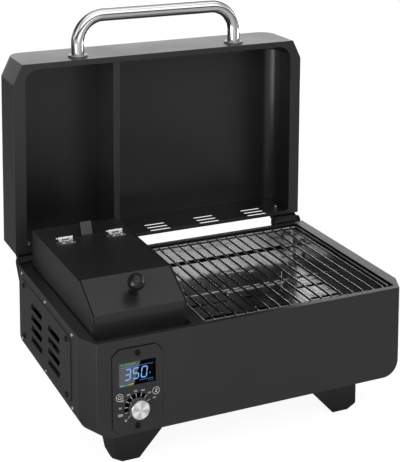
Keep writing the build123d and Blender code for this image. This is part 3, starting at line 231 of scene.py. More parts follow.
def plain_metal(name, tone, gloss, scale=400, tint=(1, 1, 1)):
    """Mill-finish or plated metal with a fine even grain and slight colour drift."""
    dark_tone = tone * 0.8
    s = Shader(name)
    grain = s.noise(scale, 3)
    drift = s.noise(40, 3)
    light = tuple(tone * c for c in tint) + (1,)
    dark = tuple(dark_tone * c for c in tint) + (1,)
    rough = s.spread(grain, gloss - 0.05, gloss + 0.06)
    normal = s.bump(grain, strength=0.10, distance=0.06 * MM, normal=s.soft_edges(0.3 * MM))
    return s.finish(Base_Color=s.mix(drift, dark, light), Metallic=1.0, Roughness=rough, Normal=normal)


def spun_aluminium(name, centre):
    """Dial face: concentric turning marks about the dial's axis, with four bright fans of light."""
    ring_rate = 21000.0
    fan_count = 4.0
    fan_angle = 0.45
    dull = grey(0.47)
    bright = grey(0.86)
    s = Shader(name)
    offset = s.add("ShaderNodeVectorMath", {0: s.place, 1: tuple(centre)}, operation="SUBTRACT")
    part = s.add("ShaderNodeSeparateXYZ", {0: offset.outputs[0]})
    across = part.outputs[0]
    up = part.outputs[2]
    radius = s.math("SQRT", s.math("ADD", s.math("POWER", across, 2.0), s.math("POWER", up, 2.0)))
    rings = s.math("SINE", s.math("MULTIPLY", radius, ring_rate))
    leftwards = s.math("MULTIPLY", across, -1.0)
    tangent = s.add("ShaderNodeCombineXYZ", {0: up, 1: 0.0, 2: leftwards}).outputs[0]
    normal = s.bump(rings, strength=0.04, distance=0.02 * MM, normal=s.soft_edges(0.3 * MM))
    turn = s.math("ADD", s.math("ARCTAN2", up, across), -fan_angle)
    fans = s.math("COSINE", s.math("MULTIPLY", turn, fan_count))
    colour = s.mix(s.remap(fans, -1.0, 1.0), dull, bright)
    rough = s.remap(rings, -1.0, 1.0, 0.34, 0.42)
    return s.finish(Base_Color=colour, Metallic=0.25, Roughness=rough, Anisotropic=0.6, Tangent=tangent,
                    Normal=normal)


def moulded_plastic(name, colour, gloss, grain_strength=0.12):
    """Moulded plastic or rubber: fine spark-eroded texture and a slightly uneven sheen."""
    s = Shader(name)
    grain = s.noise(1500, 2)
    drift = s.noise(30, 3)
    darker = tuple(colour) + (1,)
    lighter = tuple(min(1.0, c * 1.25) for c in colour) + (1,)
    rough = s.spread(drift, gloss - 0.04, gloss + 0.06)
    normal = s.bump(grain, grain_strength, distance=0.08 * MM, normal=s.soft_edges(0.4 * MM))
    return s.finish(Base_Color=s.mix(drift, darker, lighter), Roughness=rough, Normal=normal)


def circuit_board(name):
    """Green solder mask with a faint pattern of tracks."""
    colours = {"Color1": (0.02, 0.14, 0.06, 1), "Color2": (0.03, 0.20, 0.08, 1),
               "Mortar": (0.10, 0.25, 0.10, 1)}
    s = Shader(name)
    tracks = s.add("ShaderNodeTexBrick", {"Vector": s.place, "Scale": 220.0, **colours})
    normal = s.bump(s.noise(600), strength=0.1, distance=0.05 * MM)
    return s.finish(Base_Color=tracks.outputs[0], Roughness=0.35, Normal=normal)


def smoked_lens(name):
    """Dark glossy window. A slanting band of its left part catches light, and the rest is black."""
    edge_shift = 0.5 * MM
    edge_slope = 0.30
    edge_blur = 0.3 * MM
    dark = grey(0.001)
    catching = (0.098, 0.096, 0.104, 1)
    middle_x = (lens_low.x + lens_high.x) / 2
    middle_z = (lens_low.z + lens_high.z) / 2
    s = Shader(name)
    part = s.add("ShaderNodeSeparateXYZ", {0: s.place})
    across = s.math("SUBTRACT", part.outputs[0], middle_x - edge_shift)
    rise = s.math("MULTIPLY", s.math("SUBTRACT", part.outputs[2], middle_z), edge_slope)
    band = s.remap(s.math("SUBTRACT", across, rise), -edge_blur, edge_blur, 1.0, 0.0)
    lit = s.math("MULTIPLY", band, s.remap(s.noise(90, 2), 0.2, 0.8, 0.85, 1.0))
    normal = s.bump(s.noise(700), strength=0.02, distance=0.03 * MM)
    return s.finish(Base_Color=s.mix(lit, dark, catching), Roughness=0.22,
                    Specular_IOR_Level=s.remap(lit, 0.0, 1.0, 0.03, 0.45), Normal=normal)


def ink(name, colour, glow=0.0, sheen=0.5):
    """Printed ink, or a lit display segment when glow is above zero, with slightly uneven density."""
    unlit = grey(0.002)
    s = Shader(name)
    thin = tuple(c * 0.7 for c in colour) + (1,)
    full = tuple(colour) + (1,)
    shade = s.mix(s.spread(s.noise(2500, 2), 0.88, 1.0), thin, full)
    body = s.mix(min(1.0, glow), shade, unlit)
    return s.finish(Base_Color=body, Roughness=0.55, Specular_IOR_Level=sheen, Emission_Color=shade,
                    Emission_Strength=glow)


coat = powder_coat("powder_coat")
black_oxide = powder_coat("black_oxide", tone=0.003, gloss=0.30, specular=0.18)
hinge_black = powder_coat("hinge_black", tone=0.006, gloss=0.34, specular=0.22)
sheet_steel = rolled_stainless("rolled_stainless")
handle_steel = polished_stainless("polished_stainless")
wire_steel = plated_wire("plated_wire")
zinc = plain_metal("bright_zinc", tone=0.80, gloss=0.22)
mill_steel = plain_metal("mill_steel", tone=0.42, gloss=0.38, tint=(1.0, 0.97, 0.93))
dial_side = plain_metal("dial_side", tone=0.80, gloss=0.36, scale=900)
dial_face = spun_aluminium("spun_aluminium", knob_centre)
black_plastic = moulded_plastic("black_plastic", (0.012, 0.012, 0.013), gloss=0.45)
ball_plastic = moulded_plastic("ball_plastic", (0.004, 0.004, 0.004), gloss=0.30, grain_strength=0.02)
rubber = moulded_plastic("rubber", (0.020, 0.020, 0.020), gloss=0.75, grain_strength=0.3)
board_green = circuit_board("circuit_board")
lens_black = smoked_lens("smoked_lens")
white_ink = ink("white_ink", (0.62, 0.62, 0.62))
shadow_ink = ink("shadow_ink", (0.0015, 0.0015, 0.0015), sheen=0.0)
lcd_blue = ink("lcd_blue", (0.20, 0.46, 0.98), glow=1.0)
lcd_deep_blue = ink("lcd_deep_blue", (0.07, 0.19, 0.62), glow=1.0)
lcd_green = ink("lcd_green", (0.04, 0.30, 0.14), glow=1.0)
lcd_yellow = ink("lcd_yellow", (0.42, 0.50, 0.04), glow=1.0)

# The look of each material slot of the record, and then of the nodes that differ from their slot.
slot_materials = {
    "black_coat": coat, "black_fastener": black_oxide, "bright_fastener": zinc, "liner_steel": sheet_steel,
    "grate_wire": wire_steel, "handle_steel": handle_steel, "plain_steel": mill_steel,
    "dial_aluminium": dial_side, "black_plastic": black_plastic, "knob_plastic": ball_plastic,
    "lens": lens_black, "rubber": rubber, "circuit_board": board_green,
}
for part in frame["record"]["subparts"]:
    for holder in nodes[part["node"]].material_slots:
        holder.material = slot_materials[part["material_slot"]]
for name in ("lid_hinge_leaves", "lid_hinge_brackets", "lid_hinge_pins"):
    nodes[name].material_slots[0].material = hinge_black
nodes["handle_flanges"].material_slots[0].material = mill_steel


# ---------------------------------------------------------------- mesh helpers
def mesh_data(name, mesh):
    """Turns a bmesh, which is used up, into mesh data whose faces look outwards."""
    bmesh.ops.recalc_face_normals(mesh, faces=mesh.faces)
    data = bpy.data.meshes.new(name)
    mesh.to_mesh(data)
    mesh.free()
    return data


def linked(name, data):
    """Object of the given data in the scene."""
    made = bpy.data.objects.new(name, data)
    bpy.context.scene.collection.objects.link(made)
    return made


def piece(name, mesh, material, body, stands_for=()):
    """Turns a bmesh into a piece that rides on a CAD body, in place of the CAD nodes it stands for."""
    data = mesh_data(name, mesh)
    data.materials.append(material)
    made = linked(name, data)
    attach(made, body)
    if stands_for:
        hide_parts(*stands_for)
    return made


def shade_smooth(made, angle):
    """Smooth shading, with the edges that turn by more than angle kept crisp. Radians."""
    mesh = bmesh.new()
    mesh.from_mesh(made.data)
    for face in mesh.faces:
        face.smooth = True
    for edge in mesh.edges:
        edge.smooth = edge.is_manifold and edge.calc_face_angle(0.0) < angle
    mesh.to_mesh(made.data)
    mesh.free()


def add_prism(mesh, corners, thickness_vector):
    """Closed thin solid: a polygon and its copy moved by a vector."""
    near = [mesh.verts.new(c) for c in corners]
    far = [mesh.verts.new(c + thickness_vector) for c in corners]
    mesh.faces.new(near)
    mesh.faces.new(list(reversed(far)))
    for index in range(len(corners)):
        following = (index + 1) % len(corners)
        mesh.faces.new((near[index], far[index], far[following], near[following]))


def add_ring_stack(mesh, rings):
    """Closed skin over a list of rings of points, all with the same count."""
    made = [[mesh.verts.new(p) for p in ring] for ring in rings]
    count = len(made[0])
    for lower, upper in zip(made, made[1:]):
        for index in range(count):
            following = (index + 1) % count
            mesh.faces.new((lower[index], lower[following], upper[following], upper[index]))
    mesh.faces.new(list(reversed(made[0])))
    mesh.faces.new(made[-1])


def circle_points(centre, across, up, radius, count):
    """Ring of points in the plane of across and up."""
    return [centre + (across * math.cos(t) + up * math.sin(t)) * radius
            for t in (2 * math.pi * i / count for i in range(count))]


def sideways(axis):
    """Unit vector square to an axis."""
    helper = Vector((0, 0, 1)) if abs(axis.z) < 0.9 else Vector((1, 0, 0))
    return axis.cross(helper).normalized()


def rounded_path(points, bend, steps=6):
    """Polyline with each inner corner turned into an arc-like curve of the given reach."""
    longest_share = 0.49
    corners = [Vector(point) for point in points]
    path = [corners[0]]
    for before, corner, after in zip(corners, corners[1:], corners[2:]):
        longest = min((corner - before).length, (after - corner).length) * longest_share
        reach = min(bend, longest)
        start = corner + (before - corner).normalized() * reach
        end = corner + (after - corner).normalized() * reach
        for step in range(steps + 1):
            t = step / steps
            path.append(start * (1 - t) ** 2 + corner * 2 * t * (1 - t) + end * t ** 2)
    path.append(corners[-1])
    return path


def add_tube(mesh, path, radius):
    """Round wire along a path, closed at both ends, with small bevelled tips."""
    sides = 14
    tip_length = radius * 0.35
    tip_radius = radius * 0.55
    rings = []
    across = None
    for index, point in enumerate(path):
        ahead = path[min(index + 1, len(path) - 1)]
        behind = path[max(index - 1, 0)]
        forward = (ahead - behind).normalized()
        if across is None:
            across = sideways(forward)
        across = (across - forward * across.dot(forward)).normalized()
        up = forward.cross(across)
        if index == 0:
            rings.append(circle_points(point - forward * tip_length, across, up, tip_radius, sides))
        rings.append(circle_points(point, across, up, radius, sides))
        if index == len(path) - 1:
            rings.append(circle_points(point + forward * tip_length, across, up, tip_radius, sides))
    add_ring_stack(mesh, rings)


def add_lathe(mesh, foot, axis, profile, count):
    """Turned solid about an axis through foot. The profile is pairs of height and radius."""
    axis = Vector(axis).normalized()
    across = sideways(axis)
    up = axis.cross(across)
    add_ring_stack(mesh, [circle_points(foot + axis * h, across, up, r, count) for h, r in profile])


def solid_boxes(node):
    """Lowest and highest corners of each separate solid in a CAD node."""
    mesh = bmesh.new()
    mesh.from_mesh(nodes[node].data)
    bmesh.ops.remove_doubles(mesh, verts=mesh.verts, dist=1e-6)
    boxes = []
    waiting = set(mesh.verts)
    while waiting:
        group = [waiting.pop()]
        for vert in group:
            for edge in vert.link_edges:
                other = edge.other_vert(vert)
                if other in waiting:
                    waiting.remove(other)
                    group.append(other)
        low = Vector(min(v.co[i] for v in group) for i in range(3))
        high = Vector(max(v.co[i] for v in group) for i in range(3))
        boxes.append((low, high))
    mesh.free()
    return sorted(boxes, key=lambda b: tuple(round(c, 5) for c in b[0]))


# ---------------------------------------------------------------- fasteners
shank_radius = 1.9 * MM
head_heights = {"vent_cover_screws": 2.2 * MM, "control_panel_screws": 2.2 * MM,
                "side_frame_screws": 1.5 * MM, "hinge_bracket_screws": 2.0 * MM}


def screw_profile(radius, height, shank_length):
    """Height and radius of a pan-head screw, from the tip of its shank to the top of its head."""
    tip_length = 0.8 * MM
    return [(-shank_length, shank_radius * 0.8), (-shank_length + tip_length, shank_radius),
            (0, shank_radius), (0, radius), (height * 0.35, radius), (height * 0.75, radius * 0.9),
            (height * 0.95, radius * 0.68), (height, radius * 0.4)]


def cross_cutter(radius, height):
    """Cross-shaped bar that stands in a screw's head where its recess goes."""
    arm = radius * 0.52
    half = radius * 0.11
    low = height * 0.35
    high = height * 1.4
    corners = [(half, half), (half, arm), (-half, arm), (-half, half), (-arm, half), (-arm, -half),
               (-half, -half), (-half, -arm), (half, -arm), (half, -half), (arm, -half), (arm, half)]
    mesh = bmesh.new()
    add_prism(mesh, [Vector((x, y, low)) for x, y in corners], Vector((0, 0, high - low)))
    return mesh


def recessed_screw(radius, height, shank_length):
    """Pan-head screw along +Z with a cross recess. Returns its mesh data."""
    mesh = bmesh.new()
    profile = screw_profile(radius, height, shank_length)
    add_lathe(mesh, Vector(), (0, 0, 1), profile, count=28)
    blank = linked("screw_blank", mesh_data("screw_blank", mesh))
    cutter = linked("screw_cutter", mesh_data("screw_cutter", cross_cutter(radius, height)))
    cut = blank.modifiers.new("recess", "BOOLEAN")
    cut.operation = "DIFFERENCE"
    cut.solver = "EXACT"
    cut.object = cutter
    bpy.context.view_layer.update()
    depsgraph = bpy.context.evaluated_depsgraph_get()
    result = bpy.data.meshes.new_from_object(blank.evaluated_get(depsgraph))
    for made in (blank, cutter):
        bpy.data.objects.remove(made)
    return result


def screws_for(node, axis, material, seed):
    """Replaces a CAD group of equal screws by recessed ones, each turned to its own angle."""
    axis = Vector(axis)
    along = max(range(3), key=lambda i: abs(axis[i]))
    height = head_heights[node]
    boxes = solid_boxes(node)
    size = boxes[0][1] - boxes[0][0]
    radius = max(size[(along + 1) % 3], size[(along + 2) % 3]) / 2
    blank = recessed_screw(radius, height, size[along] - height)
    turn = axis.to_track_quat("Z", "Y").to_matrix().to_4x4()
    spin = random.Random(seed)
    mesh = bmesh.new()
    for low, high in boxes:
        centre = (low + high) / 2
        centre[along] = (high[along] if axis[along] > 0 else low[along]) - axis[along] * height
        own = Matrix.Rotation(spin.uniform(0, math.pi / 2), 4, "Z")
        before = len(mesh.verts)
        mesh.from_mesh(blank)
        mesh.verts.ensure_lookup_table()
        for vert in mesh.verts[before:]:
            vert.co = Matrix.Translation(centre) @ turn @ own @ vert.co
    made = piece(node + "_recessed", mesh, material, "tub", [node])
    shade_smooth(made, angle=0.5)
    bpy.data.meshes.remove(blank)


screws_for("vent_cover_screws", (-1, 0, 0), black_oxide, seed=1)
screws_for("side_frame_screws", (-1, 0, 0), zinc, seed=2)
screws_for("control_panel_screws", (0, -1, 0), black_oxide, seed=3)
screws_for("hinge_bracket_screws", (0, 1, 0), black_oxide, seed=4)


# ---------------------------------------------------------------- cooking grate
wire_radius = 1.75 * MM
bar_count = 17
first_bar_x = -60 * MM
bar_pitch = 18 * MM
bar_bend = 3.5 * MM
rod_rows = (-137.5 * MM, -50 * MM)
rod_low_x = -76.3 * MM
rod_high_x = 239.8 * MM
frame_wire_front = -138.4 * MM
frame_wire_back = 140 * MM
frame_wire_bend = 7 * MM


def make_grate():
    """Long bars with both ends bent down, over two cross rods, inside one bent frame wire."""
    low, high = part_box("cooking_grate")
    front = low.y + wire_radius
    back = high.y - wire_radius
    left = low.x + wire_radius
    right = high.x - wire_radius
    bar_z = high.z - wire_radius
    foot_z = low.z + wire_radius * 0.4
    mesh = bmesh.new()
    for index in range(bar_count):
        x = first_bar_x + index * bar_pitch
        bar = [(x, front, foot_z), (x, front, bar_z), (x, back, bar_z), (x, back, foot_z)]
        add_tube(mesh, rounded_path(bar, bar_bend), wire_radius)
    for rod_y in rod_rows:
        rod = [Vector((x, rod_y, low.z + wire_radius)) for x in (rod_low_x, rod_high_x)]
        add_tube(mesh, rod, wire_radius)
    frame_wire = [(left, frame_wire_front, bar_z), (left, frame_wire_back, bar_z),
                  (right, frame_wire_back, bar_z), (right, frame_wire_front, bar_z)]
    add_tube(mesh, rounded_path(frame_wire, frame_wire_bend, steps=8), wire_radius)
    made = piece("grate_wires", mesh, wire_steel, "tub", ["cooking_grate"])
    shade_smooth(made, angle=0.9)


make_grate()


# ---------------------------------------------------------------- tray louvres
tray_surface = rim_z - 37 * MM
flap_columns = (-8 * MM, 84 * MM, 176 * MM)
tray_slot_rows = (-67 * MM, -22 * MM)
flap_half_length = 27 * MM
flap_depth = 19 * MM
flap_swell = 0.35 * MM
flap_gap = 3.6 * MM
flap_lift = 0.02 * MM
flap_stations = 13
# From the flap's front edge to its rear: the share of its depth and the share of its swell.
flap_profile = ((0.0, 0.25), (0.25, 0.62), (0.72, 1.0), (0.86, 0.75), (1.0, 0.08))


def louvre_flap(mesh, middle_x, slot_y):
    """Soft pressed ramp behind a tray slot. It is highest near its rear edge and falls towards the slot."""
    front = slot_y + flap_gap
    rings = []
    for index in range(flap_stations):
        share = -1 + 2 * index / (flap_stations - 1)
        x = middle_x + share * flap_half_length
        fullness = max(0.05, 1 - abs(share) ** 8)
        ring = [Vector((x, front + flap_depth * along, tray_surface + flap_swell * rise * fullness))
                for along, rise in flap_profile]
        for y in (front + flap_depth, front):
            ring.append(Vector((x, y, tray_surface + flap_lift)))
        rings.append(ring)
    add_ring_stack(mesh, rings)


def make_tray_louvres():
    """One flap behind each slot of the tray."""
    mesh = bmesh.new()
    for middle_x in flap_columns:
        for slot_y in tray_slot_rows:
            louvre_flap(mesh, middle_x, slot_y)
    made = piece("tray_louvres", mesh, sheet_steel, "tub")
    shade_smooth(made, angle=0.9)


make_tray_louvres()


# ---------------------------------------------------------------- side louvres
scoop_columns = (61.5 * MM, -22.0 * MM)
scoop_rows = 4
scoop_pitch = 17.8 * MM
scoop_middle_z = rim_z - 66.2 * MM
scoop_half_slot = 25.5 * MM
scoop_half_height = 5.3 * MM
scoop_lean = 2.75 * MM
scoop_overlap = 0.2 * MM
scoop_setback = 0.4 * MM
scoop_inward = 6 * MM
scoop_forward = 13 * MM
scoop_sheet = Vector((0.5 * MM, 0.4 * MM, 0))


def make_side_scoops():
    """Cheeks pressed inwards at the rear end of each slot of the side cover, darkened with painted shade.
    """
    cover_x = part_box("vent_cover")[1].x
    near_x = cover_x - scoop_overlap
    far_x = cover_x + scoop_inward
    mesh = bmesh.new()
    for column_y in scoop_columns:
        rear = column_y + scoop_half_slot
        root_y = rear + scoop_setback
        far_y = rear - scoop_forward
        for row in range(scoop_rows):
            z = scoop_middle_z + (row - (scoop_rows - 1) / 2) * scoop_pitch
            corners = [Vector((near_x, root_y - scoop_lean, z + scoop_half_height)),
                       Vector((near_x, root_y + scoop_lean, z - scoop_half_height)),
                       Vector((far_x, far_y, z - scoop_half_height)),
                       Vector((far_x, far_y, z + scoop_half_height * 0.2))]
            add_prism(mesh, corners, scoop_sheet)
    # The cheeks take the darker hinge coat: painted shade, deeper than the cover's own coat.
    piece("side_scoops", mesh, hinge_black, "tub")


make_side_scoops()


# ---------------------------------------------------------------- dial, display and prints
dial_radius = (knob_high.x - knob_low.x) / 2
dial_depth = knob_high.y - knob_low.y
dial_ridges = 48
points_per_ridge = 4
ridge_depth = 0.35 * MM
# From the dial's back to its face: the share of its depth, 1 where it is knurled, the share of its radius.
dial_rows = ((0.0, 0, 0.97), (0.04, 0, 1.0), (0.14, 1, 1.0), (0.80, 1, 1.0), (0.86, 0, 1.0),
             (0.90, 0, 0.995), (0.985, 0, 0.925))


def dial_ring(depth_share, knurled, radius_share):
    """Ring of points round the dial, dented between its ridges where it is knurled."""
    y = knob_high.y - dial_depth * depth_share
    count = dial_ridges * points_per_ridge
    ring = []
    for index in range(count):
        turn = 2 * math.pi * index / count
        dent = ridge_depth * (0.5 - 0.5 * math.cos(dial_ridges * turn)) * knurled
        reach = dial_radius * radius_share - dent
        ring.append(Vector((knob_centre.x + reach * math.cos(turn), y,
                            knob_centre.z + reach * math.sin(turn))))
    return ring


def make_dial():
    """Knurled aluminium dial with a chamfered, spun face."""
    skirt = bmesh.new()
    add_ring_stack(skirt, [dial_ring(*row) for row in dial_rows])
    made = piece("dial_skirt", skirt, dial_side, "dial", ["temperature_knob"])
    shade_smooth(made, angle=0.7)
    face = bmesh.new()
    foot = Vector((knob_centre.x, knob_high.y - dial_depth * 0.98, knob_centre.z))
    # Height and radius of the face's foot, of its edge and of its middle, which is slightly sunk.
    profile = [(0, dial_radius * 0.90), (dial_depth * 0.02, dial_radius * 0.895),
               (dial_depth * 0.0195, dial_radius * 0.5)]
    add_lathe(face, foot, (0, -1, 0), profile, count=96)
    made = piece("dial_face", face, dial_face, "dial")
    shade_smooth(made, angle=0.7)


make_dial()


def add_flat(mesh, outline, y, thickness=0.08 * MM):
    """Thin printed shape on a plane that faces the front. The outline is pairs of x and z."""
    add_prism(mesh, [Vector((x, y, z)) for x, z in outline], Vector((0, -thickness, 0)))


def add_ring(mesh, x, z, inner, outer, y, start=0.0, end=360.0, steps=48):
    """Flat ring made of short closed pieces side by side, or one closed piece for a part of a ring."""
    angles = [math.radians(start + (end - start) * i / steps) for i in range(steps + 1)]
    inside = [(x + inner * math.cos(t), z + inner * math.sin(t)) for t in angles]
    outside = [(x + outer * math.cos(t), z + outer * math.sin(t)) for t in angles]
    if end - start >= 360:
        for i in range(steps):
            add_flat(mesh, [inside[i], outside[i], outside[i + 1], inside[i + 1]], y)
    else:
        add_flat(mesh, outside + list(reversed(inside)), y)


def add_bar(mesh, start, end, width, y):
    """Straight printed stroke with pointed ends."""
    a = Vector(start)
    b = Vector(end)
    along = (b - a).normalized() * width / 2
    side = Vector((-along.y, along.x))
    outline = [a, a + along + side, b - along + side, b, b - along - side, a + along - side]
    add_flat(mesh, [(p.x, p.y) for p in outline], y)


# The lit segments of each numeral in use. The top one is a, b to f follow it clockwise, and g is the bar.
SEGMENTS = {"0": "abcdef", "1": "bc", "2": "abged", "3": "abgcd", "4": "fgbc", "5": "afgcd",
            "8": "abcdefg"}


def add_digit(mesh, digit, x, z, height, y, stroke):
    """Slanted seven-segment numeral with its lower left corner at x, z. The stroke is a share of height."""
    slant = 0.10
    width = height * 0.52
    half = height / 2
    gap = height * 0.02
    ends = {"a": ((0, height), (width, height)), "b": ((width, height), (width, half)),
            "c": ((width, half), (width, 0)), "d": ((0, 0), (width, 0)), "e": ((0, half), (0, 0)),
            "f": ((0, height), (0, half)), "g": ((0, half), (width, half))}
    for name in SEGMENTS[digit]:
        start, end = (Vector(point) for point in ends[name])
        along = (end - start).normalized() * gap
        start += along
        end -= along
        add_bar(mesh, (x + start.x + slant * start.y, z + start.y), (x + end.x + slant * end.y, z + end.y),
                height * stroke, y)


def add_number(mesh, text, x, z, height, y, stroke):
    """Row of numerals centred on x, z."""
    pitch = height * 0.82
    start = x - pitch * len(text) / 2 + height * 0.1
    for index, digit in enumerate(text):
        add_digit(mesh, digit, start + index * pitch, z - height / 2, height, y, stroke)


display_y = lens_low.y - 0.02 * MM
display_width = lens_high.x - lens_low.x
display_height = lens_high.z - lens_low.z


def on_lens(u, v):
    """Point of the display as x and z, from the shares of its width and height."""
    return (lens_low.x + display_width * u, lens_low.z + display_height * v)


def add_stroke(mesh, start, end, width):
    """Stroke on the display between two places given as shares."""
    add_bar(mesh, on_lens(*start), on_lens(*end), width, display_y)


def add_dashes(mesh, count, first_u, pitch, length, v, width, rise=0.0):
    """Row of short strokes. Each one's end stands higher by rise than that of the one before it."""
    for index in range(count):
        u = first_u + index * pitch
        add_stroke(mesh, (u, v), (u + length, v + rise * index), width)


def make_display_digits():
    """The reading in the middle of the display."""
    digits = bmesh.new()
    x, z = on_lens(0.46, 0.49)
    add_number(digits, "350", x, z, display_height * 0.44, display_y, 0.105)
    piece("display_digits", digits, lcd_blue, "tub")


def make_display_rules():
    """Two thin rules, a small ring and three dots."""
    rules = bmesh.new()
    add_stroke(rules, (0.06, 0.80), (0.93, 0.80), 0.5 * MM)
    add_stroke(rules, (0.55, 0.17), (0.93, 0.17), 0.5 * MM)
    add_ring(rules, *on_lens(0.84, 0.40), 0.6 * MM, 1.1 * MM, display_y, steps=16)
    for u in (0.80, 0.86, 0.91):
        add_stroke(rules, (u - 0.015, 0.09), (u + 0.015, 0.09), 0.9 * MM)
    piece("display_rules", rules, lcd_deep_blue, "tub")


def make_display_wave():
    """Zigzag wave at the top with a dash before it, and two dashes at the bottom."""
    wave = bmesh.new()
    for index in range(4):
        u = 0.17 + index * 0.07
        add_stroke(wave, (u, 0.86), (u + 0.035, 0.96), 1.1 * MM)
        add_stroke(wave, (u + 0.035, 0.96), (u + 0.07, 0.88), 1.1 * MM)
    add_stroke(wave, (0.04, 0.94), (0.12, 0.94), 0.9 * MM)
    add_dashes(wave, 2, 0.145, 0.055, 0.045, 0.055, 1.9 * MM)
    piece("display_wave", wave, lcd_green, "tub")


def make_display_level():
    """The rest of the level bar at the bottom: its yellow end and its blue start."""
    level = bmesh.new()
    add_dashes(level, 3, 0.255, 0.05, 0.04, 0.06, 2.2 * MM, rise=0.01)
    piece("display_level", level, lcd_yellow, "tub")
    cold = bmesh.new()
    add_dashes(cold, 2, 0.035, 0.055, 0.045, 0.05, 1.7 * MM)
    piece("display_cold", cold, lcd_blue, "tub")


make_display_digits()
make_display_rules()
make_display_wave()
make_display_level()


def make_panel_shadow_line():
    """Thin black strip round the panel's chamfered outline: a painted shadow line of the gap at the panel's
    edge.
    """
    spread = 0.7 * MM
    chamfer = 9.8 * MM
    thickness = 0.5 * MM
    left = panel_low.x - spread
    right = panel_high.x + spread
    low = panel_low.z - spread
    high = panel_high.z + spread
    outline = [(left + chamfer, low), (right - chamfer, low),
               (right, low + chamfer), (right, high - chamfer),
               (right - chamfer, high), (left + chamfer, high),
               (left, high - chamfer), (left, low + chamfer)]
    mesh = bmesh.new()
    add_flat(mesh, outline, front_y, thickness)
    # The strip is painted shadow, in the black shadow ink.
    piece("panel_shadow_line", mesh, shadow_ink, "tub")


button_cap_radius = 5.8 * MM
print_lift = 0.01 * MM
scale_y = panel_face_y - print_lift
tick_count = 11
long_tick_count = 9
first_tick_angle = 225.0
tick_step = 25.5
tick_start = 15.0 * MM
long_tick_end = 20.5 * MM
short_tick_end = 18.0 * MM
label_reach_x = 25.5 * MM
label_reach_z = 23.8 * MM
# Labels beside the dial stand a little further out.
side_label_from = 0.8
side_label_share = 1.06
scale_numbers = {2: "180", 3: "200", 4: "225", 5: "250", 6: "300", 7: "350", 8: "400"}


def add_label(mesh, index, x, z):
    """What stands at a tick: a ring at the first, three short lines at the second, numbers, or nothing."""
    if index == 0:
        add_ring(mesh, x, z, 1.1 * MM, 1.7 * MM, scale_y, steps=20)
    if index == 1:
        for row in (-1, 0, 1):
            level = z + row * 1.3 * MM
            add_bar(mesh, (x - 4 * MM, level), (x + (4 - abs(row)) * MM, level), 0.6 * MM, scale_y)
    if index in scale_numbers:
        add_number(mesh, scale_numbers[index], x, z, 2.1 * MM, scale_y, 0.17)


def make_panel_scale():
    """Dial scale: ticks clockwise from the lower left, with numbers and two signs and no words."""
    scale = bmesh.new()
    for index in range(tick_count):
        turn = math.radians(first_tick_angle - index * tick_step)
        across = math.cos(turn)
        up = math.sin(turn)
        tick_end = long_tick_end if index < long_tick_count else short_tick_end
        start, end = [(knob_centre.x + reach * across, knob_centre.z + reach * up)
                      for reach in (tick_start, tick_end)]
        add_bar(scale, start, end, 0.7 * MM, scale_y)
        outward = side_label_share if abs(across) > side_label_from else 1.0
        add_label(scale, index, knob_centre.x + label_reach_x * across * outward,
                  knob_centre.z + label_reach_z * up)
    piece("panel_scale", scale, white_ink, "tub")


def make_panel_sector():
    """Matt black sector round the upper left of the dial, under its scale: printed, and partly a painted
    shadow.
    """
    sector_y = panel_face_y - 0.002 * MM
    inner = 14.2 * MM
    outer = 20.0 * MM
    sector = bmesh.new()
    # Part print and part painted shadow of the dial.
    add_ring(sector, knob_centre.x, knob_centre.z, inner, outer, sector_y, start=52, end=205, steps=40)
    piece("panel_sector", sector, shadow_ink, "tub")


def add_power_sign(mesh, x, z, y):
    """Ring that is open at its top, with a stroke in the opening."""
    add_ring(mesh, x, z, 2.1 * MM, 2.8 * MM, y, start=120, end=420, steps=24)
    add_bar(mesh, (x, z + 0.6 * MM), (x, z + 3.4 * MM), 0.8 * MM, y)


def add_thermometer_sign(mesh, x, z, y):
    """Bulb and stem, with two marks beside the stem."""
    add_ring(mesh, x, z - 1.6 * MM, 0.2 * MM, 1.3 * MM, y, steps=16)
    add_bar(mesh, (x, z - 1 * MM), (x, z + 3.4 * MM), 0.9 * MM, y)
    for mark in (0.8 * MM, 2.2 * MM):
        add_bar(mesh, (x + 0.9 * MM, z + mark), (x + 2.6 * MM, z + mark), 0.6 * MM, y)


def make_button_icon(button, add_sign):
    """Ring and sign printed on a button's cap. The button's node and body have the same name."""
    low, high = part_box(button)
    middle = (low + high) / 2
    cap_y = low.y - print_lift
    icon = bmesh.new()
    add_ring(icon, middle.x, middle.z, button_cap_radius - 0.95 * MM, button_cap_radius - 0.3 * MM, cap_y)
    add_sign(icon, middle.x, middle.z, cap_y)
    piece(button + "_icon", icon, white_ink, button)


make_panel_shadow_line()
make_panel_scale()
make_panel_sector()
make_button_icon("left_button", add_power_sign)
make_button_icon("right_button", add_thermometer_sign)


# ---------------------------------------------------------------- camera, floor and light
def shift_at_home(camera, channel, amount, home_x):
    """Shifts the camera's lens, but only while the camera stands at its own place."""
    driver = camera.data.driver_add(channel).driver
    driver.type = "SCRIPTED"
    reading = driver.variables.new()
    reading.name = "x"
    reading.type = "TRANSFORMS"
    reading.targets[0].id = camera
    reading.targets[0].transform_type = "LOC_X"
    reading.targets[0].transform_space = "WORLD_SPACE"
    driver.expression = f"{amount} if abs(x - {home_x:.5f}) < 0.0005 else 0"


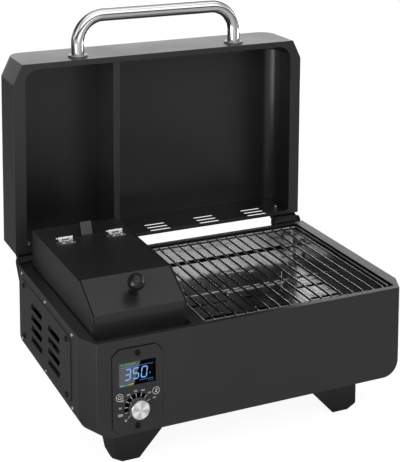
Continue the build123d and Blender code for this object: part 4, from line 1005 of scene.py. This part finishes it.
def photo_camera():
    """Camera at the photograph's viewing angle. The picture is a crop from a wider view, so the lens is
    shifted, but only while the camera stands at this place."""
    lens_length = 89.97
    sensor_width = 36
    nearest_seen = 0.05
    place = Vector((-0.76938, -1.56553, 0.8578))
    azimuth, elevation, roll = (math.radians(a) for a in (-22.325, 6.905, -0.329))
    shifts = {"shift_x": 0.1469, "shift_y": -0.5957}
    back = Vector((math.sin(azimuth) * math.cos(elevation), -math.cos(azimuth) * math.cos(elevation),
                   math.sin(elevation)))
    right = (-back).cross(Vector((0, 0, 1))).normalized()
    up = right.cross(-back)
    turned_right = right * math.cos(roll) + up * math.sin(roll)
    turned_up = up * math.cos(roll) - right * math.sin(roll)
    data = bpy.data.cameras.new("photo_camera")
    data.lens = lens_length
    data.sensor_width = sensor_width
    data.clip_start = nearest_seen
    camera = linked("photo_camera", data)
    turn = Matrix((turned_right, turned_up, back)).transposed().to_4x4()
    camera.matrix_world = Matrix.Translation(place) @ turn
    for channel, amount in shifts.items():
        shift_at_home(camera, channel, amount, place.x)
    bpy.context.scene.camera = camera


# Angle in degrees and brightness. The boards go by the angle about the X axis: 0 is level in front, 90 is
# overhead and -90 is underneath. The walls go by the bearing: 0 is in front and 90 is on the right.
boards = ((-180, 1.5), (-165, 0.35), (-90, 0.25), (-14, 0.5), (-2, 0.5), (3, 0.06), (15, 0.06), (21, 1.5),
          (46, 1.6), (54, 0.50), (84, 0.80), (90, 0.60), (98, 0.03), (122, 0.03), (130, 0.40),
          (150, 0.60), (159, 1.75), (180, 1.5))
walls = ((-180, 1.0), (-166, 1.0), (-160, 0.10), (-112, 0.10), (-100, 0.9), (-62, 0.9), (-52, 0.25),
         (-44, 0.25), (-34, 1.0), (38, 1.0), (48, 0.3), (58, 0.3), (68, 0.9), (120, 0.8), (135, 1.0),
         (180, 1.0))
# The ramps hold brightness as a share of this, which keeps their colours between 0 and 1.
ramp_full = 2


def brightness(sky, degrees, stops):
    """Brightness by an angle, which runs straight from stop to stop, as a share of ramp_full."""
    ramp = sky.add("ShaderNodeValToRGB", {0: sky.remap(degrees, -180, 180)})
    while len(ramp.color_ramp.elements) < len(stops):
        ramp.color_ramp.elements.new(0.5)
    for element, (angle, level) in zip(ramp.color_ramp.elements, stops):
        element.position = (angle + 180) / 360
        element.color = grey(level / ramp_full)
    return ramp.outputs[0]


def studio_world():
    """White studio. The camera sees plain white. Everything else sees soft boards of light, dimmed by
    the walls, which fade out high up."""
    wall_top = 0.55
    fade_end = 0.80
    white = grey(1.0)
    no_wall = grey(1.0 / ramp_full)
    world = bpy.data.worlds.new("studio")
    world.use_nodes = True
    sky = NodeBuilder(world.node_tree)
    direction = sky.add("ShaderNodeTexCoord").outputs["Generated"]
    part = sky.add("ShaderNodeSeparateXYZ", {0: direction})
    rightwards = part.outputs[0]
    upwards = part.outputs[2]
    forwards = sky.math("MULTIPLY", part.outputs[1], -1.0)
    climb = sky.math("DEGREES", sky.math("ARCTAN2", upwards, forwards))
    bearing = sky.math("DEGREES", sky.math("ARCTAN2", rightwards, forwards))
    board = brightness(sky, climb, boards)
    wall = sky.mix(sky.remap(upwards, wall_top, fade_end), brightness(sky, bearing, walls), no_wall)
    product = sky.add("ShaderNodeVectorMath", {0: board, 1: wall}, operation="MULTIPLY").outputs[0]
    full = {0: product, "Scale": ramp_full ** 2}
    lit = sky.add("ShaderNodeVectorMath", full, operation="SCALE").outputs[0]
    seen = sky.add("ShaderNodeLightPath").outputs["Is Camera Ray"]
    background = sky.add("ShaderNodeBackground", {0: sky.mix(seen, lit, white)})
    sky.add("ShaderNodeOutputWorld", {0: background.outputs[0]})
    bpy.context.scene.world = world


def softbox(name, place, target, width, height, power):
    """Rectangular light that faces target. The camera doesn't see it."""
    data = bpy.data.lights.new(name, "AREA")
    data.shape = "RECTANGLE"
    data.size = width
    data.size_y = height
    data.energy = power
    light = linked(name, data)
    light.location = place
    light.rotation_mode = "QUATERNION"
    light.rotation_quaternion = (Vector(target) - Vector(place)).to_track_quat("-Z", "Y")
    light.visible_camera = False
    return light


def reflected_floor(s):
    """What reflections see of the floor, with light and shade painted in: dark as painted shade, paler in
    front of the grill, and white far out at front left as a painted pool of light.
    """
    # Painted shade near the grill.
    dark = grey(0.24)
    paler = grey(0.60)
    white = grey(1.0)
    part = s.add("ShaderNodeSeparateXYZ", {0: s.place})
    rightwards = part.outputs[0]
    backwards = part.outputs[1]
    ahead = s.remap(backwards, -0.10, -0.24)
    leftwards = s.math("ADD", s.math("MULTIPLY", rightwards, -0.92), s.math("MULTIPLY", backwards, -0.38))
    # Painted pool of light far out at the front left.
    patch = s.math("MULTIPLY", s.remap(leftwards, 0.80, 0.90), s.remap(backwards, 0.1, -0.1))
    return s.mix(patch, s.mix(ahead, dark, paler), white)


def floor_material():
    """Paper that the camera sees near white, with a faint shadow. Part of it glows, for the camera only."""
    glow_strength = 1.25
    glow_share = 0.80
    s = Shader("pale_floor")
    seen = s.add("ShaderNodeLightPath").outputs["Is Camera Ray"]
    pale = s.mix(s.noise(3, 3), grey(0.90), grey(0.93))
    paper = s.add("ShaderNodeBsdfDiffuse", {0: s.mix(seen, reflected_floor(s), pale)})
    glow = s.add("ShaderNodeEmission", {0: pale, 1: glow_strength})
    share = s.math("MULTIPLY", seen, glow_share)
    mixed = s.add("ShaderNodeMixShader", {0: share, 1: paper.outputs[0], 2: glow.outputs[0]})
    s.tree.links.new(mixed.outputs[0], s.output.inputs[0])
    return s.material


def studio_floor():
    """Wide slab whose top is just below the feet."""
    reach = 6.0
    depth = 10 * MM
    gap = 0.1 * MM
    corners = [Vector((x, y, ground_z - depth))
               for x, y in ((-reach, -reach), (reach, -reach), (reach, reach), (-reach, reach))]
    mesh = bmesh.new()
    add_prism(mesh, corners, Vector((0, 0, depth - gap)))
    data = mesh_data("floor", mesh)
    data.materials.append(floor_material())
    linked("floor", data)


photo_camera()
studio_world()
studio_floor()
softbox("overhead", (0.1, 0.1, 2.2), (0, 0, 0.1), width=2.4, height=2.4, power=8)
softbox("left_card", (-1.05, -0.50, -0.04), (-0.26, -0.15, 0.12), width=0.7, height=0.5, power=5)
softbox("back_card", (1.3, 1.9, 0.12), (0, 0.15, 0.12), width=1.8, height=0.36, power=14)
softbox("right_card", (1.9, -0.3, 0.05), (0.2, 0, 0.05), width=0.9, height=0.22, power=5)
softbox("corner_card", (-1.02, -0.44, -0.065), (-1.02, -0.43, 1.0), width=0.34, height=0.5, power=4)
lid_fill = softbox("lid_fill", (-1.6, -0.9, 0.9), (0.25, 0.15, 0.3), width=0.6, height=0.6, power=12)
lid_fill.visible_glossy = False
softbox("front_fill", (-0.2, -1.9, 0.35), (0, 0.1, 0.3), width=1.6, height=0.5, power=2)
bpy.context.scene.view_settings.view_transform = "Standard"
